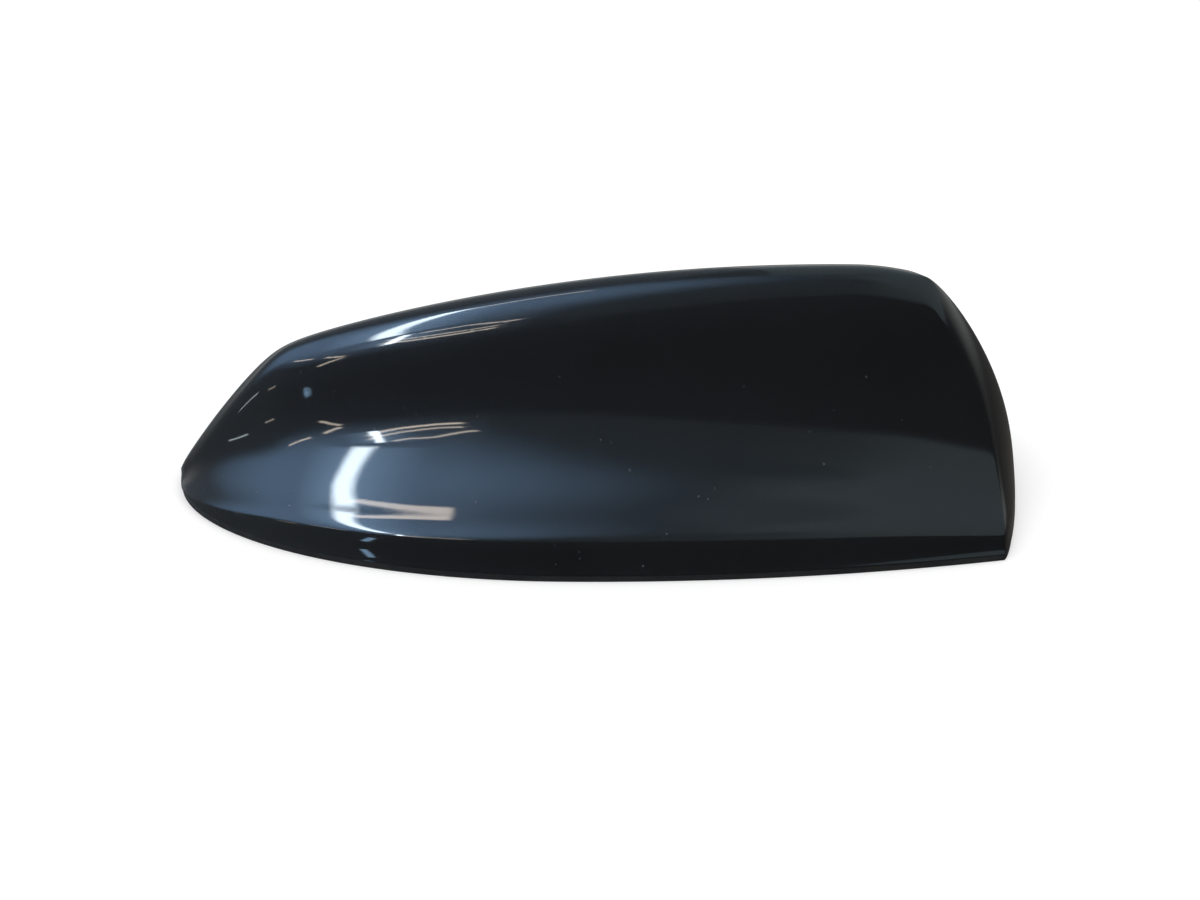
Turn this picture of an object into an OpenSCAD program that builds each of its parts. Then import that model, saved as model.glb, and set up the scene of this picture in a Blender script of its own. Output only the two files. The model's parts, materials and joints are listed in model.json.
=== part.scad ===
// Shark fin roof aerial: painted cover, cast base, sealing rubbers, board, radiating elements and coax sockets.
// Millimetres, +Z up, +X towards the tail. The origin is the axis of the roof stud, on the surface of the roof.

/* [Cover outline] */
// Length of the cover from the tip of the nose to the foot of the tail
fin_len = 165; // [150:0.2:200]
// Greatest width of the cover
fin_w = 65.6; // [58:0.2:80]
// Height of the crest above the roof
fin_h = 50; // [45:0.2:62]
// Distance from the nose to the widest place, as a share of the length
widest_share = 0.4606; // [0.4:0.0002:0.52]
// Width at the tail, before its corners are rounded, as a share of the greatest width
tail_w_share = 0.7225; // [0.65:0.0005:0.8]
// Distance from the nose to the highest place, as a share of the length
crest_share = 0.7925; // [0.74:0.0005:0.86]
// How far the long curve of the crest would fall at the nose, as a share of the height
crest_fall = 0.514; // [0.48:0.001:0.56]
// How far the crest would fall behind its highest place at the foot of the tail, as a share of the height
tail_fall = 0.26; // [0:0.01:0.34]
// Height that the nose's own curve would reach over the tail, as a share of the crest's
nose_share = 3.072; // [2.9:0.001:3.2]
// Power by which the nose rises
nose_power = 0.762; // [0.72:0.001:0.82]
// Height of the blunt tip of the nose above the gasket
tip_h = 1; // [0.8:0.05:1.5]
// How far the tail leans forward at its top
tail_lean = 20.5; // [16:0.1:26]
// Radius of the tail's corners in plan
tail_corner = 4.6; // [4:0.1:8]
// Thickness of the cover
wall = 2.2; // [1.8:0.05:2.7]

/* [Cover section] */
// Width across the rounded ridge
ridge_w = 9.4; // [8:0.1:11]
// Width where the steep flank turns into the flare
waist_w = 21.6; // [20:0.1:25]
// Height of that turn, as a share of the fin's height
waist_share = 0.572; // [0.54:0.002:0.62]
// How far the turn from the flare to the rim lies inside the widest line
rim_in = 4.4; // [3.6:0.1:5.4]
// Height of that turn, as a share of the fin's height
rim_share = 0.198; // [0.18:0.002:0.22]
// How much lower the rim has sunk at the tail, as a share of its height
rim_fall = 0.9; // [0.6:0.02:0.94]

/* [Seals] */
// Thickness of the roof gasket
gasket_t = 1.5; // [1:0.1:2]
// How far the gasket's edge stays inside the cover's edge
gasket_inset = 0.35; // [0.3:0.05:0.8]
// How far the gasket reaches in under the base plate
gasket_lap = 0.8; // [0.5:0.05:1.2]
// Side of the square seal cord between the cover and the base
seal_side = 1.4; // [1.2:0.1:1.6]
// Clearance between the seal cord and the cover before the cord is pressed flat
seal_gap = 1.5; // [1.4:0.05:1.7]
// Clearance between pieces that slide together
fit = 0.2; // [0.1:0.05:0.3]

/* [Base plate] */
// Thickness of the cast base
base_t = 3.5; // [3:0.1:4.5]
// Height of the stand-offs under the board
standoff_h = 3; // [2.8:0.1:4]
// Diameter of the stand-offs
standoff_d = 6; // [5:0.1:7]
// Length of the two locating pegs below the roof surface
peg_len = 3; // [2.5:0.1:4.5]
// Diameter of the locating pegs
peg_d = 5; // [4:0.1:6]
// Diameter of the vent hole
vent_d = 3; // [2:0.1:4]
// Width of the stiffening ribs
rib_w = 1.6; // [1.2:0.1:2.2]

/* [Roof stud] */
// Diameter of the stud
stud_d = 8; // [6.8:0.1:8.2]
// Diameter of the stud's plain shoulder inside the base
stud_shoulder_d = 8.8; // [8.4:0.1:9.6]
// Length of the stud below the roof surface
stud_len = 22; // [18:0.5:30]
// Width across the flats of the stud's head
stud_flats = 13; // [12:0.1:15]
// Height of the stud's head
stud_head_h = 4.2; // [3.6:0.1:4.4]

/* [Fasteners] */
// Shank diameter of the cover screws
cover_screw_d = 2.9; // [2.4:0.1:3.4]
// Length of the cover screws
cover_screw_len = 6; // [5:0.5:7]
// Head diameter of the cover screws
cover_head_d = 5.2; // [4.8:0.1:5.6]
// Outer diameter of the cover's screw bosses
boss_d = 6.4; // [5.8:0.1:6.8]
// Shank diameter of the board screws
board_screw_d = 2.4; // [2:0.1:2.8]
// Head diameter of the board screws
board_head_d = 4.4; // [4:0.1:5]
// Height of all the screw heads
screw_head_h = 1.6; // [1.2:0.1:1.8]

/* [Circuit board] */
// Thickness of the board
board_t = 1.6; // [1.2:0.1:2]
// How far the shielding can stays in from the board's long edges
can_in = 3.8; // [3:0.1:6]
// Length of the shielding can
can_len = 17; // [14:0.5:18]
// Height of the shielding can
can_h = 3.6; // [3:0.1:4.4]

/* [Position patch] */
// Side of the ceramic patch
patch_side = 25; // [21:0.1:25.6]
// Thickness of the ceramic patch
patch_t = 4; // [3.2:0.1:4.6]
// Side of the silver face on the patch
silver_side = 19; // [16:0.1:20]
// Thickness of the sticky pad under the patch
pad_t = 0.5; // [0.4:0.05:0.8]

/* [Radiating elements] */
// Thickness of the stamped sheets
sheet_t = 0.5; // [0.4:0.05:0.7]
// Gap between the top plate and the inside of the tail
top_plate_gap = 11; // [10:0.1:16]
// Height of the top plate's folded sides
top_plate_drop = 8; // [6:0.1:9]
// Thickness of the foam between the top plate and the cover
foam_t = 3; // [2.4:0.1:4]
// Diameter of the coil's wire
wire_d = 1; // [0.8:0.05:1.2]
// Diameter of the tube that the coil is wound on
former_d = 7.8; // [6.8:0.1:8.6]
// Rise of the coil in one turn
coil_pitch = 3; // [2.6:0.1:3.6]

/* [Coax sockets] */
// Outer diameter of a socket's housing
socket_d = 9.4; // [9:0.1:10.2]
// Bore of a socket's mouth
socket_bore = 7.4; // [7:0.1:7.8]
// Distance between neighbouring sockets
socket_pitch = 12; // [11.6:0.1:13]
// How far a socket reaches below the roof surface
socket_reach = 13; // [12:0.5:15]
// Outer diameter of a socket's metal sleeve
sleeve_d = 4.2; // [3.8:0.1:4.6]
// How far the sleeve stays back from the socket's mouth
sleeve_back = 4.8; // [4.5:0.1:5.5]
// Diameter of a socket's contact pin
contact_d = 0.9; // [0.7:0.05:1.1]

/* [Hidden] */
$fn = 48;
eps = 0.01;
// Steps along the fin and down each side of its section, for the outer skin and for the cavity
skin_steps = [40, 20];
cavity_steps = [36, 12];

// Heights, each from the one below it
seat_z = gasket_t;
base_top = seat_z + base_t;
board_z = base_top + standoff_h;
board_top = board_z + board_t;
patch_z = board_top + pad_t;
patch_top = patch_z + patch_t;

// Places along the aerial, as distances from the nose
stud_from_nose = 0.5212 * fin_len;
widest_x = widest_share * fin_len;
crest_x = crest_share * fin_len;
tail_w = tail_w_share * fin_w;
flare_w = fin_w - 2 * rim_in;
tip_flat = 0.15;
tail_flat = 0.04;
cavity_nose = 5.5;
base_nose = 9.4;
nose_blend = 3.7;
tip_run = 3;
tail_lean_power = 2.28;
tail_top_power = 0.75;
tail_corner_power = 1.5;
least_corner = 1.5;

// Outline of the fin: heights and half widths at a distance x behind the nose

function nose_h(x) = fin_h * nose_share * pow(max(x, 0) / fin_len, nose_power);
function arc_h(x) =
  x < crest_x
    ? fin_h * (1 - crest_fall * pow(1 - x / crest_x, 2))
    : fin_h * (1 - tail_fall * pow((x - crest_x) / (fin_len - crest_x), 2));
function smooth_min(a, b, r) = (a + b - sqrt(pow(a - b, 2) + r * r)) / 2;
function crest(x) = smooth_min(nose_h(x), arc_h(x), nose_blend) + (gasket_t + tip_h) * exp(-x / tip_run);
function half_w(x) =
  x < widest_x
    ? fin_w / 2 * sqrt(1 - pow(1 - x / widest_x, 2))
    : fin_w / 2 - (fin_w - tail_w) / 2 * pow((x - widest_x) / (fin_len - widest_x), 2);
function slope_gain(a, b, run) = sqrt(1 + pow((b - a) / run, 2));
function h_gain(x) = slope_gain(crest(x), crest(x + 0.1), 0.1);
function w_gain(x) = slope_gain(half_w(x), half_w(x + 0.1), 0.1);

// Where the tail ends at a share of the height, and how its corner closes in over the last stretch
function tail_end(share) =
  fin_len - tail_lean * (1 - pow(1 - pow(min(max(share, 0), 1), tail_lean_power), tail_top_power));
function corner_close(t) = pow(1 - pow(1 - min(max(t, 0), 1), tail_corner_power), 1 / tail_corner_power);

// The section is a smooth curve through shares of the half width and of the height, from ridge to rim

r_share = ridge_w / fin_w;
w_share = waist_w / fin_w;
f_share = flare_w / fin_w;
// How far the flare's hollow lies inside and below a straight line between its two turns
hollow = [0.022, 0.081];
// The turn into the rim: shares of the way from the flare's edge to the widest line, and of the rim's height
rim_turn = [[0.49, 0.78], [0.6, 0.56], [0.79, 0.23], [1, 0]];
section_guides = [
  [0, 1], [r_share / 2, 1], [r_share, 0.935], [(r_share + w_share) / 2 - 0.009, 0.806], [w_share, waist_share],
  [(w_share + f_share) / 2 - hollow[0], (waist_share + rim_share) / 2 - hollow[1]], [f_share, rim_share],
  for (t = rim_turn) [f_share + (1 - f_share) * t[0], rim_share * t[1]]
];

// The lower part of the section sinks towards the tail
function sunk(share, x) = share * (1 - rim_fall * pow(x / fin_len, 3) * pow(1 - share, 4));

// Clamped cubic spline: its knots, its weights, and the point at a share t of its run
function knot(i, n) = i <= 3 ? 0 : i >= n ? 1 : (i - 3) / (n - 3);
function in_span(i, t, n) = t >= knot(i, n) && (t < knot(i + 1, n) || (t == 1 && i == n - 1));
function ramp(num, den) = den > 0 ? num / den : 0;
function weight(i, k, t, n) =
  k == 0
    ? (in_span(i, t, n) ? 1 : 0)
    : ramp(t - knot(i, n), knot(i + k, n) - knot(i, n)) * weight(i, k - 1, t, n)
      + ramp(knot(i + k + 1, n) - t, knot(i + k + 1, n) - knot(i + 1, n)) * weight(i + 1, k - 1, t, n);
function total(v, i = 0) = i == len(v) - 1 ? v[i] : v[i] + total(v, i + 1);
function spline(p, t) = total([for (i = [0:len(p) - 1]) p[i] * weight(i, 3, t, len(p))]);

function section(n) = [for (j = [0:n]) spline(section_guides, j / n)];
function runs(s) = [for (j = [0:len(s) - 1]) s[min(j + 1, len(s) - 1)] - s[max(j - 1, 0)]];

// A point of the fin's skin, moved inwards by inset: g is the share of the way from nose to tail
function skin_point(g, s, run, inset, x0) =
  let (
    x1 = tail_end(s[1]) - inset - tail_flat,
    x = x0 + g * (x1 - x0),
    w = half_w(x),
    h = crest(x) - seat_z,
    across = -h * run[1],
    up = w * run[0],
    size = norm([across, up]),
    close = corner_close((x1 + tail_flat - x) / max(tail_corner - inset, least_corner))
  )
  [
    x - stud_from_nose,
    (w * s[0] - inset * w_gain(x) * across / size) * close,
    seat_z + h * sunk(s[1], x) - inset * h_gain(x) * up / size
  ];

function share_of(i, n) = (1 - cos(180 * i / n)) / 2;

// One arch of the skin, from the left rim over the ridge to the right rim
function arch(g, s, inset, x0, foot) =
  let (
    m = len(s) - 1,
    run = runs(s),
    half = [for (j = [0:m]) skin_point(g, s[j], run[j], inset, x0)]
  )
  [
    for (j = [m:-1:1]) [half[j][0], -half[j][1], j == m ? foot : half[j][2]],
    for (j = [0:m]) [half[j][0], j == 0 ? 0 : half[j][1], j == m ? foot : half[j][2]]
  ];

// The whole fin as a closed body, its skin moved inwards by inset and its foot at a height of its own
module fin_body(inset, x0, foot, steps) {
  n = steps[0];
  ring = 2 * steps[1] + 1;
  last = n * ring;
  s = section(steps[1]);
  points = [for (i = [0:n]) each arch(share_of(i, n), s, inset, x0, foot)];
  skin = [
    for (i = [0:n - 1]) for (j = [0:ring - 2])
      [i * ring + j, i * ring + j + 1, (i + 1) * ring + j + 1, (i + 1) * ring + j]
  ];
  nose = [for (j = [0:steps[1] - 1]) [ring - 1 - j, ring - 2 - j, j + 1, j]];
  tail = [for (f = nose) [for (k = [3:-1:0]) f[k] + last]];
  under = [[for (i = [0:n]) i * ring, for (i = [n:-1:0]) i * ring + ring - 1]];
  polyhedron(points, concat(skin, nose, tail, under));
}

// A plan nested in the fin's own, inset from its sides and tail, with a round nose that starts at x0
function nested_w(x, inset, x0) =
  x < widest_x
    ? (fin_w / 2 - inset) * sqrt(1 - pow((widest_x - x) / (widest_x - x0), 2))
    : half_w(x) - inset;
function plan(inset, x0) =
  let (
    n = skin_steps[0],
    x1 = fin_len - inset,
    edge = [
      for (i = [0:n]) let (x = x0 + share_of(i, n) * (x1 - x0))
        [x - stud_from_nose, nested_w(x, inset, x0) * corner_close((x1 - x) / max(tail_corner - inset, least_corner))]
    ]
  )
  concat([for (i = [0:n]) [edge[i][0], -edge[i][1]]], [for (i = [n - 1:-1:1]) edge[i]]);

module plan_plate(inset, x0, z0, z1) {
  translate([0, 0, z0])
    linear_extrude(z1 - z0)
      polygon(plan(inset, x0));
}

module at(places) {
  for (p = places)
    translate([p[0], p[1], 0])
      children();
}

module drill(d, z0, z1) {
  translate([0, 0, z0])
    cylinder(d = d, h = z1 - z0);
}

function from_nose(x) = x - stud_from_nose;
function along(share) = from_nose(share * fin_len);

// Places that more than one piece shares

boss_gap = 0.6;
screw_margin = 2.5;
end_screw_in = [17, 12];
seal_inset = wall + seal_gap;
base_inset = seal_inset + seal_side + fit;
side_boss = [along(0.485), fin_w / 2 - base_inset - screw_margin - cover_head_d / 2];
cover_screw_places = [
  [from_nose(end_screw_in[0]), 0], [from_nose(fin_len - end_screw_in[1]), 0], side_boss, [side_boss[0], -side_boss[1]]
];

// The board fills the room between the screw bosses; its corners are cut off by these amounts, front and rear
front_cut = 9;
rear_cut = 7.5;
board_w = 2 * (side_boss[1] - boss_d / 2 - boss_gap);
can_w = board_w - 2 * can_in;
board_front = along(0.1606);
board_rear = cover_screw_places[1][0] - boss_d / 2 - boss_gap;
hole_in = [5.5, 6];
front_hole = [board_front + hole_in[0], board_w / 2 - front_cut - 2];
rear_hole = [board_rear - hole_in[1], board_w / 2 - hole_in[1]];
board_screw_places = [for (p = [front_hole, rear_hole]) for (side = [1, -1]) [p[0], side * p[1]]];

socket_places = [for (k = [-1:1]) [along(0.7152) + k * socket_pitch, 0]];
slot_w = socket_d + 2 * fit;
slot_ends = [socket_places[0][0] - slot_w / 2, socket_places[2][0] + slot_w / 2];
peg_places = [[along(0.3394), 0], [slot_ends[1] + 4.6 + peg_d / 2, 0]];
vent_place = [along(0.388), 0];
rib_y = 10;
patch_x = along(0.309);
pin_offset = 1.8;
pin_d = 1;
can_x = along(0.6121);
coil_x = along(0.7212);
coil_foot = 14;
front_element_x = along(0.4182);
rear_element_room = [coil_x + coil_foot / 2 + 1.2, board_rear - hole_in[1]];
rear_element_x = (rear_element_room[0] + rear_element_room[1]) / 2;

// Cover

module screw_boss(place) {
  hull() {
    translate([place[0], place[1], base_top])
      cylinder(d = boss_d, h = eps, $fn = 24);
    translate([place[0], place[1], fin_h])
      cylinder(d = boss_d + 1.4, h = eps, $fn = 24);
  }
}

// A tapered rib across the inside of the crest, which backs the foam
module crest_rib(x) {
  z = crest(x + stud_from_nose) - wall;
  hull() {
    translate([x - rib_w / 2, -ridge_w / 2, z])
      cube([rib_w, ridge_w, wall / 2]);
    translate([x - rib_w / 4, -ridge_w / 4, z - 1])
      cube([rib_w / 2, ridge_w / 2, eps]);
  }
}

module cover() {
  color([0.07, 0.07, 0.08])
    difference() {
      union() {
        difference() {
          fin_body(0, tip_flat, seat_z, skin_steps);
          fin_body(wall, cavity_nose, seat_z - 1, cavity_steps);
        }
        intersection() {
          fin_body(wall / 2, cavity_nose / 2, seat_z, cavity_steps);
          union() {
            for (p = cover_screw_places)
              screw_boss(p);
            for (x = [along(0.242), along(0.339), along(0.436), top_plate_x + top_plate_len + 4])
              crest_rib(x);
          }
        }
      }
      at(cover_screw_places)
        drill(cover_screw_d - 0.3, base_top - 1, base_top + cover_screw_len - screw_seat_t + 0.5);
    }
}

// Seals

module ring_plate(inset, x0, band, z0, z1) {
  difference() {
    plan_plate(inset, x0, z0, z1);
    plan_plate(inset + band, x0 + band, z0 - 1, z1 + 1);
  }
}

module cover_seal() {
  color([0.16, 0.16, 0.16])
    ring_plate(seal_inset, base_nose - fit - seal_side, seal_side, seat_z, seat_z + seal_side);
}

module roof_gasket() {
  color([0.12, 0.12, 0.12])
    difference() {
      plan_plate(gasket_inset, gasket_inset, 0, seat_z);
      plan_plate(base_inset + gasket_lap, base_nose + gasket_lap, -1, seat_z + 1);
    }
}

// Base plate

// What is left under a cover screw's head
screw_seat_t = base_t - screw_head_h - 0.2;
stud_seat_t = board_z - seat_z - stud_head_h - 0.3;
stud_boss_d = stud_flats / cos(30) + 5;

// A rib along the base, from the front stand-off to the rear one
module base_rib(y) {
  x0 = board_screw_places[0][0];
  x1 = board_screw_places[2][0];
  translate([x0, y - rib_w / 2, seat_z + 1])
    cube([x1 - x0, rib_w, base_t + standoff_h / 2 - 1]);
}

module base_plate() {
  color([0.62, 0.63, 0.64])
    difference() {
      union() {
        plan_plate(base_inset, base_nose, seat_z, base_top);
        drill(stud_boss_d, seat_z + 1, board_z - 0.4);
        for (y = [-rib_y, rib_y])
          base_rib(y);
        at(board_screw_places)
          drill(standoff_d, seat_z + 1, board_z);
        at(peg_places)
          drill(peg_d, -peg_len, base_top - 1);
      }
      drill(stud_shoulder_d + 2 * fit, 0, base_top + standoff_h);
      translate([0, 0, seat_z + stud_seat_t])
        cylinder(d = (stud_flats + 2 * fit) / cos(30), h = base_t + standoff_h, $fn = 6);
      translate([slot_ends[0], -slot_w / 2, 0])
        cube([slot_ends[1] - slot_ends[0], slot_w, base_top + standoff_h]);
      at(board_screw_places)
        drill(board_screw_d - 0.3, base_top - 0.5, board_z + 1);
      at(cover_screw_places) {
        drill(cover_screw_d + 2 * fit, seat_z - 1, base_top + 1);
        drill(cover_head_d + 4 * fit, seat_z - 1, base_top - screw_seat_t);
      }
      at([vent_place])
        drill(vent_d, 0, base_top + 1);
    }
}

// Roof stud

module roof_stud() {
  color([0.72, 0.72, 0.7]) {
    difference() {
      union() {
        drill(stud_d, -stud_len, seat_z);
        drill(stud_shoulder_d, seat_z, seat_z + stud_seat_t + 1);
        translate([0, 0, seat_z + stud_seat_t])
          cylinder(d = stud_flats / cos(30), h = stud_head_h, $fn = 6);
      }
      translate([0, 0, seat_z + stud_seat_t + stud_head_h - 1])
        cylinder(d = stud_d / 2, h = 2);
    }
  }
}

// Screws: a pan head with a cross-shaped recess, and a shank that points along +Z

module screw(d, head_d, length) {
  recess_w = head_d / 6;
  difference() {
    union() {
      rotate_extrude()
        polygon([[0, 0], [head_d / 2 - 0.4, 0], [head_d / 2, 0.5], [head_d / 2, screw_head_h], [0, screw_head_h]]);
      cylinder(d = d, h = screw_head_h + length - d / 2);
      translate([0, 0, screw_head_h + length - d / 2])
        cylinder(d1 = d, d2 = d / 3, h = d / 2);
    }
    for (a = [0, 90])
      rotate([0, 0, a])
        translate([-head_d / 4, -recess_w / 2, -eps])
          cube([head_d / 2, recess_w, screw_head_h / 2]);
  }
}

module cover_screws() {
  color([0.7, 0.7, 0.72])
    at(cover_screw_places)
      translate([0, 0, base_top - screw_seat_t - screw_head_h])
        screw(cover_screw_d - 0.35, cover_head_d, cover_screw_len);
}

module board_screws() {
  color([0.7, 0.7, 0.72])
    at(board_screw_places)
      translate([0, 0, board_top + screw_head_h])
        mirror([0, 0, 1])
          screw(board_screw_d - 0.35, board_head_d, board_t + standoff_h - 0.5);
}

module vent_membrane() {
  color([0.92, 0.92, 0.9])
    at([vent_place])
      drill(vent_d + 5, base_top, base_top + 0.3);
}

// Circuit board and what sits on it

module board_shape() {
  front_w = board_w - 2 * front_cut;
  rear_w = board_w - 2 * rear_cut;
  polygon([
    [board_front, -front_w / 2], [board_front + 2 * front_cut, -board_w / 2],
    [board_rear - rear_cut, -board_w / 2], [board_rear, -rear_w / 2],
    [board_rear, rear_w / 2], [board_rear - rear_cut, board_w / 2],
    [board_front + 2 * front_cut, board_w / 2], [board_front, front_w / 2]
  ]);
}

module main_board() {
  color([0.05, 0.3, 0.16])
    difference() {
      translate([0, 0, board_z])
        linear_extrude(board_t)
          board_shape();
      at(board_screw_places)
        drill(board_screw_d + fit, board_z - 1, board_top + 1);
      at(socket_places)
        drill(contact_d + fit, board_z - 1, board_top + 1);
      at([[patch_x + pin_offset, 0]])
        drill(pin_d + fit, board_z - 1, board_top + 1);
    }
}

module patch_block(side, z0, z1) {
  difference() {
    translate([patch_x - side / 2, -side / 2, z0])
      cube([side, side, z1 - z0]);
    at([[patch_x + pin_offset, 0]])
      drill(pin_d + fit, z0 - 1, z1 + 1);
  }
}

module patch_pad() {
  color([0.85, 0.84, 0.78])
    patch_block(patch_side - 1, board_top, patch_z);
}

module patch_ceramic() {
  color([0.75, 0.68, 0.55])
    patch_block(patch_side, patch_z, patch_top);
}

// The silver face has two opposite corners cut off, which turns its field round
module patch_silver() {
  silver_t = 0.2;
  cut = 2.4;
  a = silver_side / 2;
  color([0.85, 0.85, 0.86])
    difference() {
      translate([patch_x, 0, patch_top])
        linear_extrude(silver_t)
          polygon([[-a, -a], [a - cut, -a], [a, -a + cut], [a, a], [-a + cut, a], [-a, a - cut]]);
      at([[patch_x + pin_offset, 0]])
        drill(pin_d + fit, patch_z, patch_top + 1);
    }
}

module patch_pin() {
  color([0.85, 0.75, 0.4])
    at([[patch_x + pin_offset, 0]]) {
      drill(pin_d, board_z - 0.6, patch_top + 0.3);
      drill(pin_d * 2, patch_top + 0.2, patch_top + 0.6);
    }
}

module shield_can() {
  can_t = 0.4;
  color([0.75, 0.76, 0.77])
    difference() {
      translate([can_x - can_len / 2, -can_w / 2, board_top])
        cube([can_len, can_w, can_h]);
      translate([can_x - can_len / 2 + can_t, -can_w / 2 + can_t, board_top - 1])
        cube([can_len - 2 * can_t, can_w - 2 * can_t, can_h + 1 - can_t]);
      at([for (i = [-1:1]) for (k = [-2:2]) [can_x + i * can_len / 4, k * can_w / 6]])
        drill(1.6, board_top, board_top + can_h + 1);
    }
}

// Broadcast element: a plastic former, the coil on it and a roof-shaped plate on top

top_plate_x = along(0.5515);
top_plate_z = crest(top_plate_x + stud_from_nose) - wall - foam_t - sheet_t;
tail_over_plate = tail_end((top_plate_z + sheet_t - seat_z) / (crest(fin_len - tail_lean) - seat_z));
top_plate_len = from_nose(tail_over_plate) - wall - top_plate_gap - top_plate_x;
carrier_rib = 2.4;

module element_carrier() {
  rib_len = top_plate_len - 6;
  color([0.25, 0.25, 0.27])
    difference() {
      union() {
        translate([coil_x, 0, board_top])
          cylinder(d = former_d, h = top_plate_z - top_plate_drop + sheet_t - board_top);
        translate([coil_x - coil_foot / 2, -coil_foot / 2, board_top])
          cube([coil_foot, coil_foot, 1.2]);
        translate([top_plate_x + 3, -carrier_rib / 2, top_plate_z - top_plate_drop])
          cube([rib_len, carrier_rib, top_plate_drop]);
      }
      translate([coil_x, 0, board_top - 1])
        cylinder(d = former_d - 3, h = top_plate_z - top_plate_drop - board_top);
      at([for (k = socket_places) k])
        drill(contact_d + 3, board_top - 1, board_top + 2);
    }
}

// The coil's wire is swept round the former, from just above its foot to the top plate's rib
module broadcast_coil() {
  sides = 6;
  steps = 14;
  r = former_d / 2 + wire_d / 2 + fit / 2;
  z0 = board_top + 1.2 + wire_d;
  z1 = top_plate_z - top_plate_drop - wire_d;
  n = floor((z1 - z0) / coil_pitch * steps);
  points = [
    for (i = [0:n]) let (a = 360 * i / steps)
      for (k = [0:sides - 1]) let (b = 360 * k / sides, q = r + wire_d / 2 * cos(b))
        [q * cos(a), q * sin(a), z0 + coil_pitch * i / steps + wire_d / 2 * sin(b)]
  ];
  tube = [
    for (i = [0:n - 1]) for (k = [0:sides - 1]) let (m = (k + 1) % sides)
      [i * sides + k, i * sides + m, (i + 1) * sides + m, (i + 1) * sides + k]
  ];
  ends = [[for (k = [sides - 1:-1:0]) k], [for (k = [0:sides - 1]) n * sides + k]];
  color([0.8, 0.45, 0.25])
    translate([coil_x, 0, 0])
      polyhedron(points, concat(tube, ends));
}

module top_plate() {
  flat = 3;
  spread = 5;
  t = sheet_t;
  d = top_plate_drop;
  color([0.72, 0.73, 0.74])
    difference() {
      translate([top_plate_x, 0, top_plate_z])
        rotate([90, 0, 90])
          linear_extrude(top_plate_len)
            polygon([
              [-flat, t], [flat, t], [spread, t - d], [spread - t, t - d],
              [flat - t, 0], [t - flat, 0], [t - spread, t - d], [-spread, t - d]
            ]);
      for (k = [1:4])
        translate([top_plate_x + k * top_plate_len / 5 - 1, -spread - 1, top_plate_z - d])
          cube([2, 2 * spread + 2, d - 2]);
    }
}

module foam_pad() {
  foam_len = 18;
  foam_w = 3;
  foam_gap = 0.6;
  color([0.3, 0.3, 0.3])
    translate([top_plate_x + 2, -foam_w / 2, top_plate_z + sheet_t])
      cube([foam_len, foam_w, foam_t - foam_gap]);
}

// Stamped elements: an upright sheet with a folded foot on the board

module stamped_sheet(outline, foot_x) {
  foot_len = 6;
  translate([0, sheet_t / 2, 0])
    rotate([90, 0, 0])
      linear_extrude(sheet_t)
        difference() {
          polygon(outline);
          children();
        }
  translate([foot_x - foot_len / 2, -sheet_t / 2, board_top])
    cube([foot_len, 4, sheet_t]);
}

element_gap = 6;

module front_element() {
  long = 20;
  x0 = front_element_x - long / 2;
  x1 = front_element_x + long / 2;
  z0 = board_top + 5;
  top0 = crest(x0 + stud_from_nose) - wall - element_gap;
  top1 = crest(x1 + stud_from_nose) - wall - element_gap;
  rise = top0 - z0;
  foot = 6;
  color([0.78, 0.7, 0.5])
    stamped_sheet([
      [x0, z0 + 3], [front_element_x - foot / 2, z0], [front_element_x - foot / 2, board_top],
      [front_element_x + foot / 2, board_top], [front_element_x + foot / 2, z0], [x1, z0 + 3], [x1, top1], [x0, top0]
    ], front_element_x) {
      translate([x0 + long / 5, z0 + 0.42 * rise])
        square([long * 3 / 5, 2]);
      translate([x0 + long / 3, z0 + 0.68 * rise])
        square([long, 2]);
    }
}

module rear_element() {
  x0 = rear_element_room[0];
  x1 = rear_element_room[1];
  z0 = board_top + 4;
  top = top_plate_z - top_plate_drop - 3;
  long = x1 - x0;
  rise = top - z0;
  foot = 6;
  color([0.78, 0.7, 0.5])
    stamped_sheet([
      [x0, z0 + 3], [rear_element_x - foot / 2, z0], [rear_element_x - foot / 2, board_top],
      [rear_element_x + foot / 2, board_top], [rear_element_x + foot / 2, z0], [x1, z0 + 3],
      [x1, top - 4], [x1 - 4, top], [x0, top]
    ], rear_element_x)
      translate([x0 + long / 4, z0 + 0.4 * rise])
        square([long / 2, rise / 4]);
}

// Spring clips beside the feet of the stamped elements
module contact_clips() {
  clip_h = 2.6;
  t = 0.3;
  color([0.85, 0.75, 0.4])
    for (x = [front_element_x, rear_element_x])
      translate([x, -sheet_t / 2 - 0.3, board_top])
        rotate([90, 0, 90])
          linear_extrude(3)
            polygon([
              [-3.4, 0], [-0.4, 0], [-0.4, t], [-3.1, t], [-2.4, clip_h - t], [0, clip_h - t], [0, clip_h], [-2.6, clip_h]
            ]);
}

// Coax sockets: a keyed housing, a metal sleeve, an insulator and a contact pin

mouth_z = -socket_reach;
sleeve_low = mouth_z + sleeve_back;
sleeve_t = 0.4;

module coax_socket(k) {
  flange = [socket_pitch - 2 * fit, slot_w + 4, standoff_h];
  floor_z = 0;
  key = 1.2;
  color([[0.12, 0.12, 0.13], [0.2, 0.28, 0.5], [0.45, 0.2, 0.35]][k])
    at([socket_places[k]])
      difference() {
        union() {
          drill(socket_d, mouth_z, base_top + 1);
          translate([-flange[0] / 2, -flange[1] / 2, base_top])
            cube(flange);
          for (a = [90, 270])
            rotate([0, 0, a])
              translate([0, -key / 2, mouth_z + 2])
                cube([socket_d / 2 + 0.15, key, socket_reach - 4]);
        }
        drill(socket_bore, mouth_z - 1, floor_z);
        drill(sleeve_d + fit, floor_z - 1, board_z + 1);
      }
}

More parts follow.
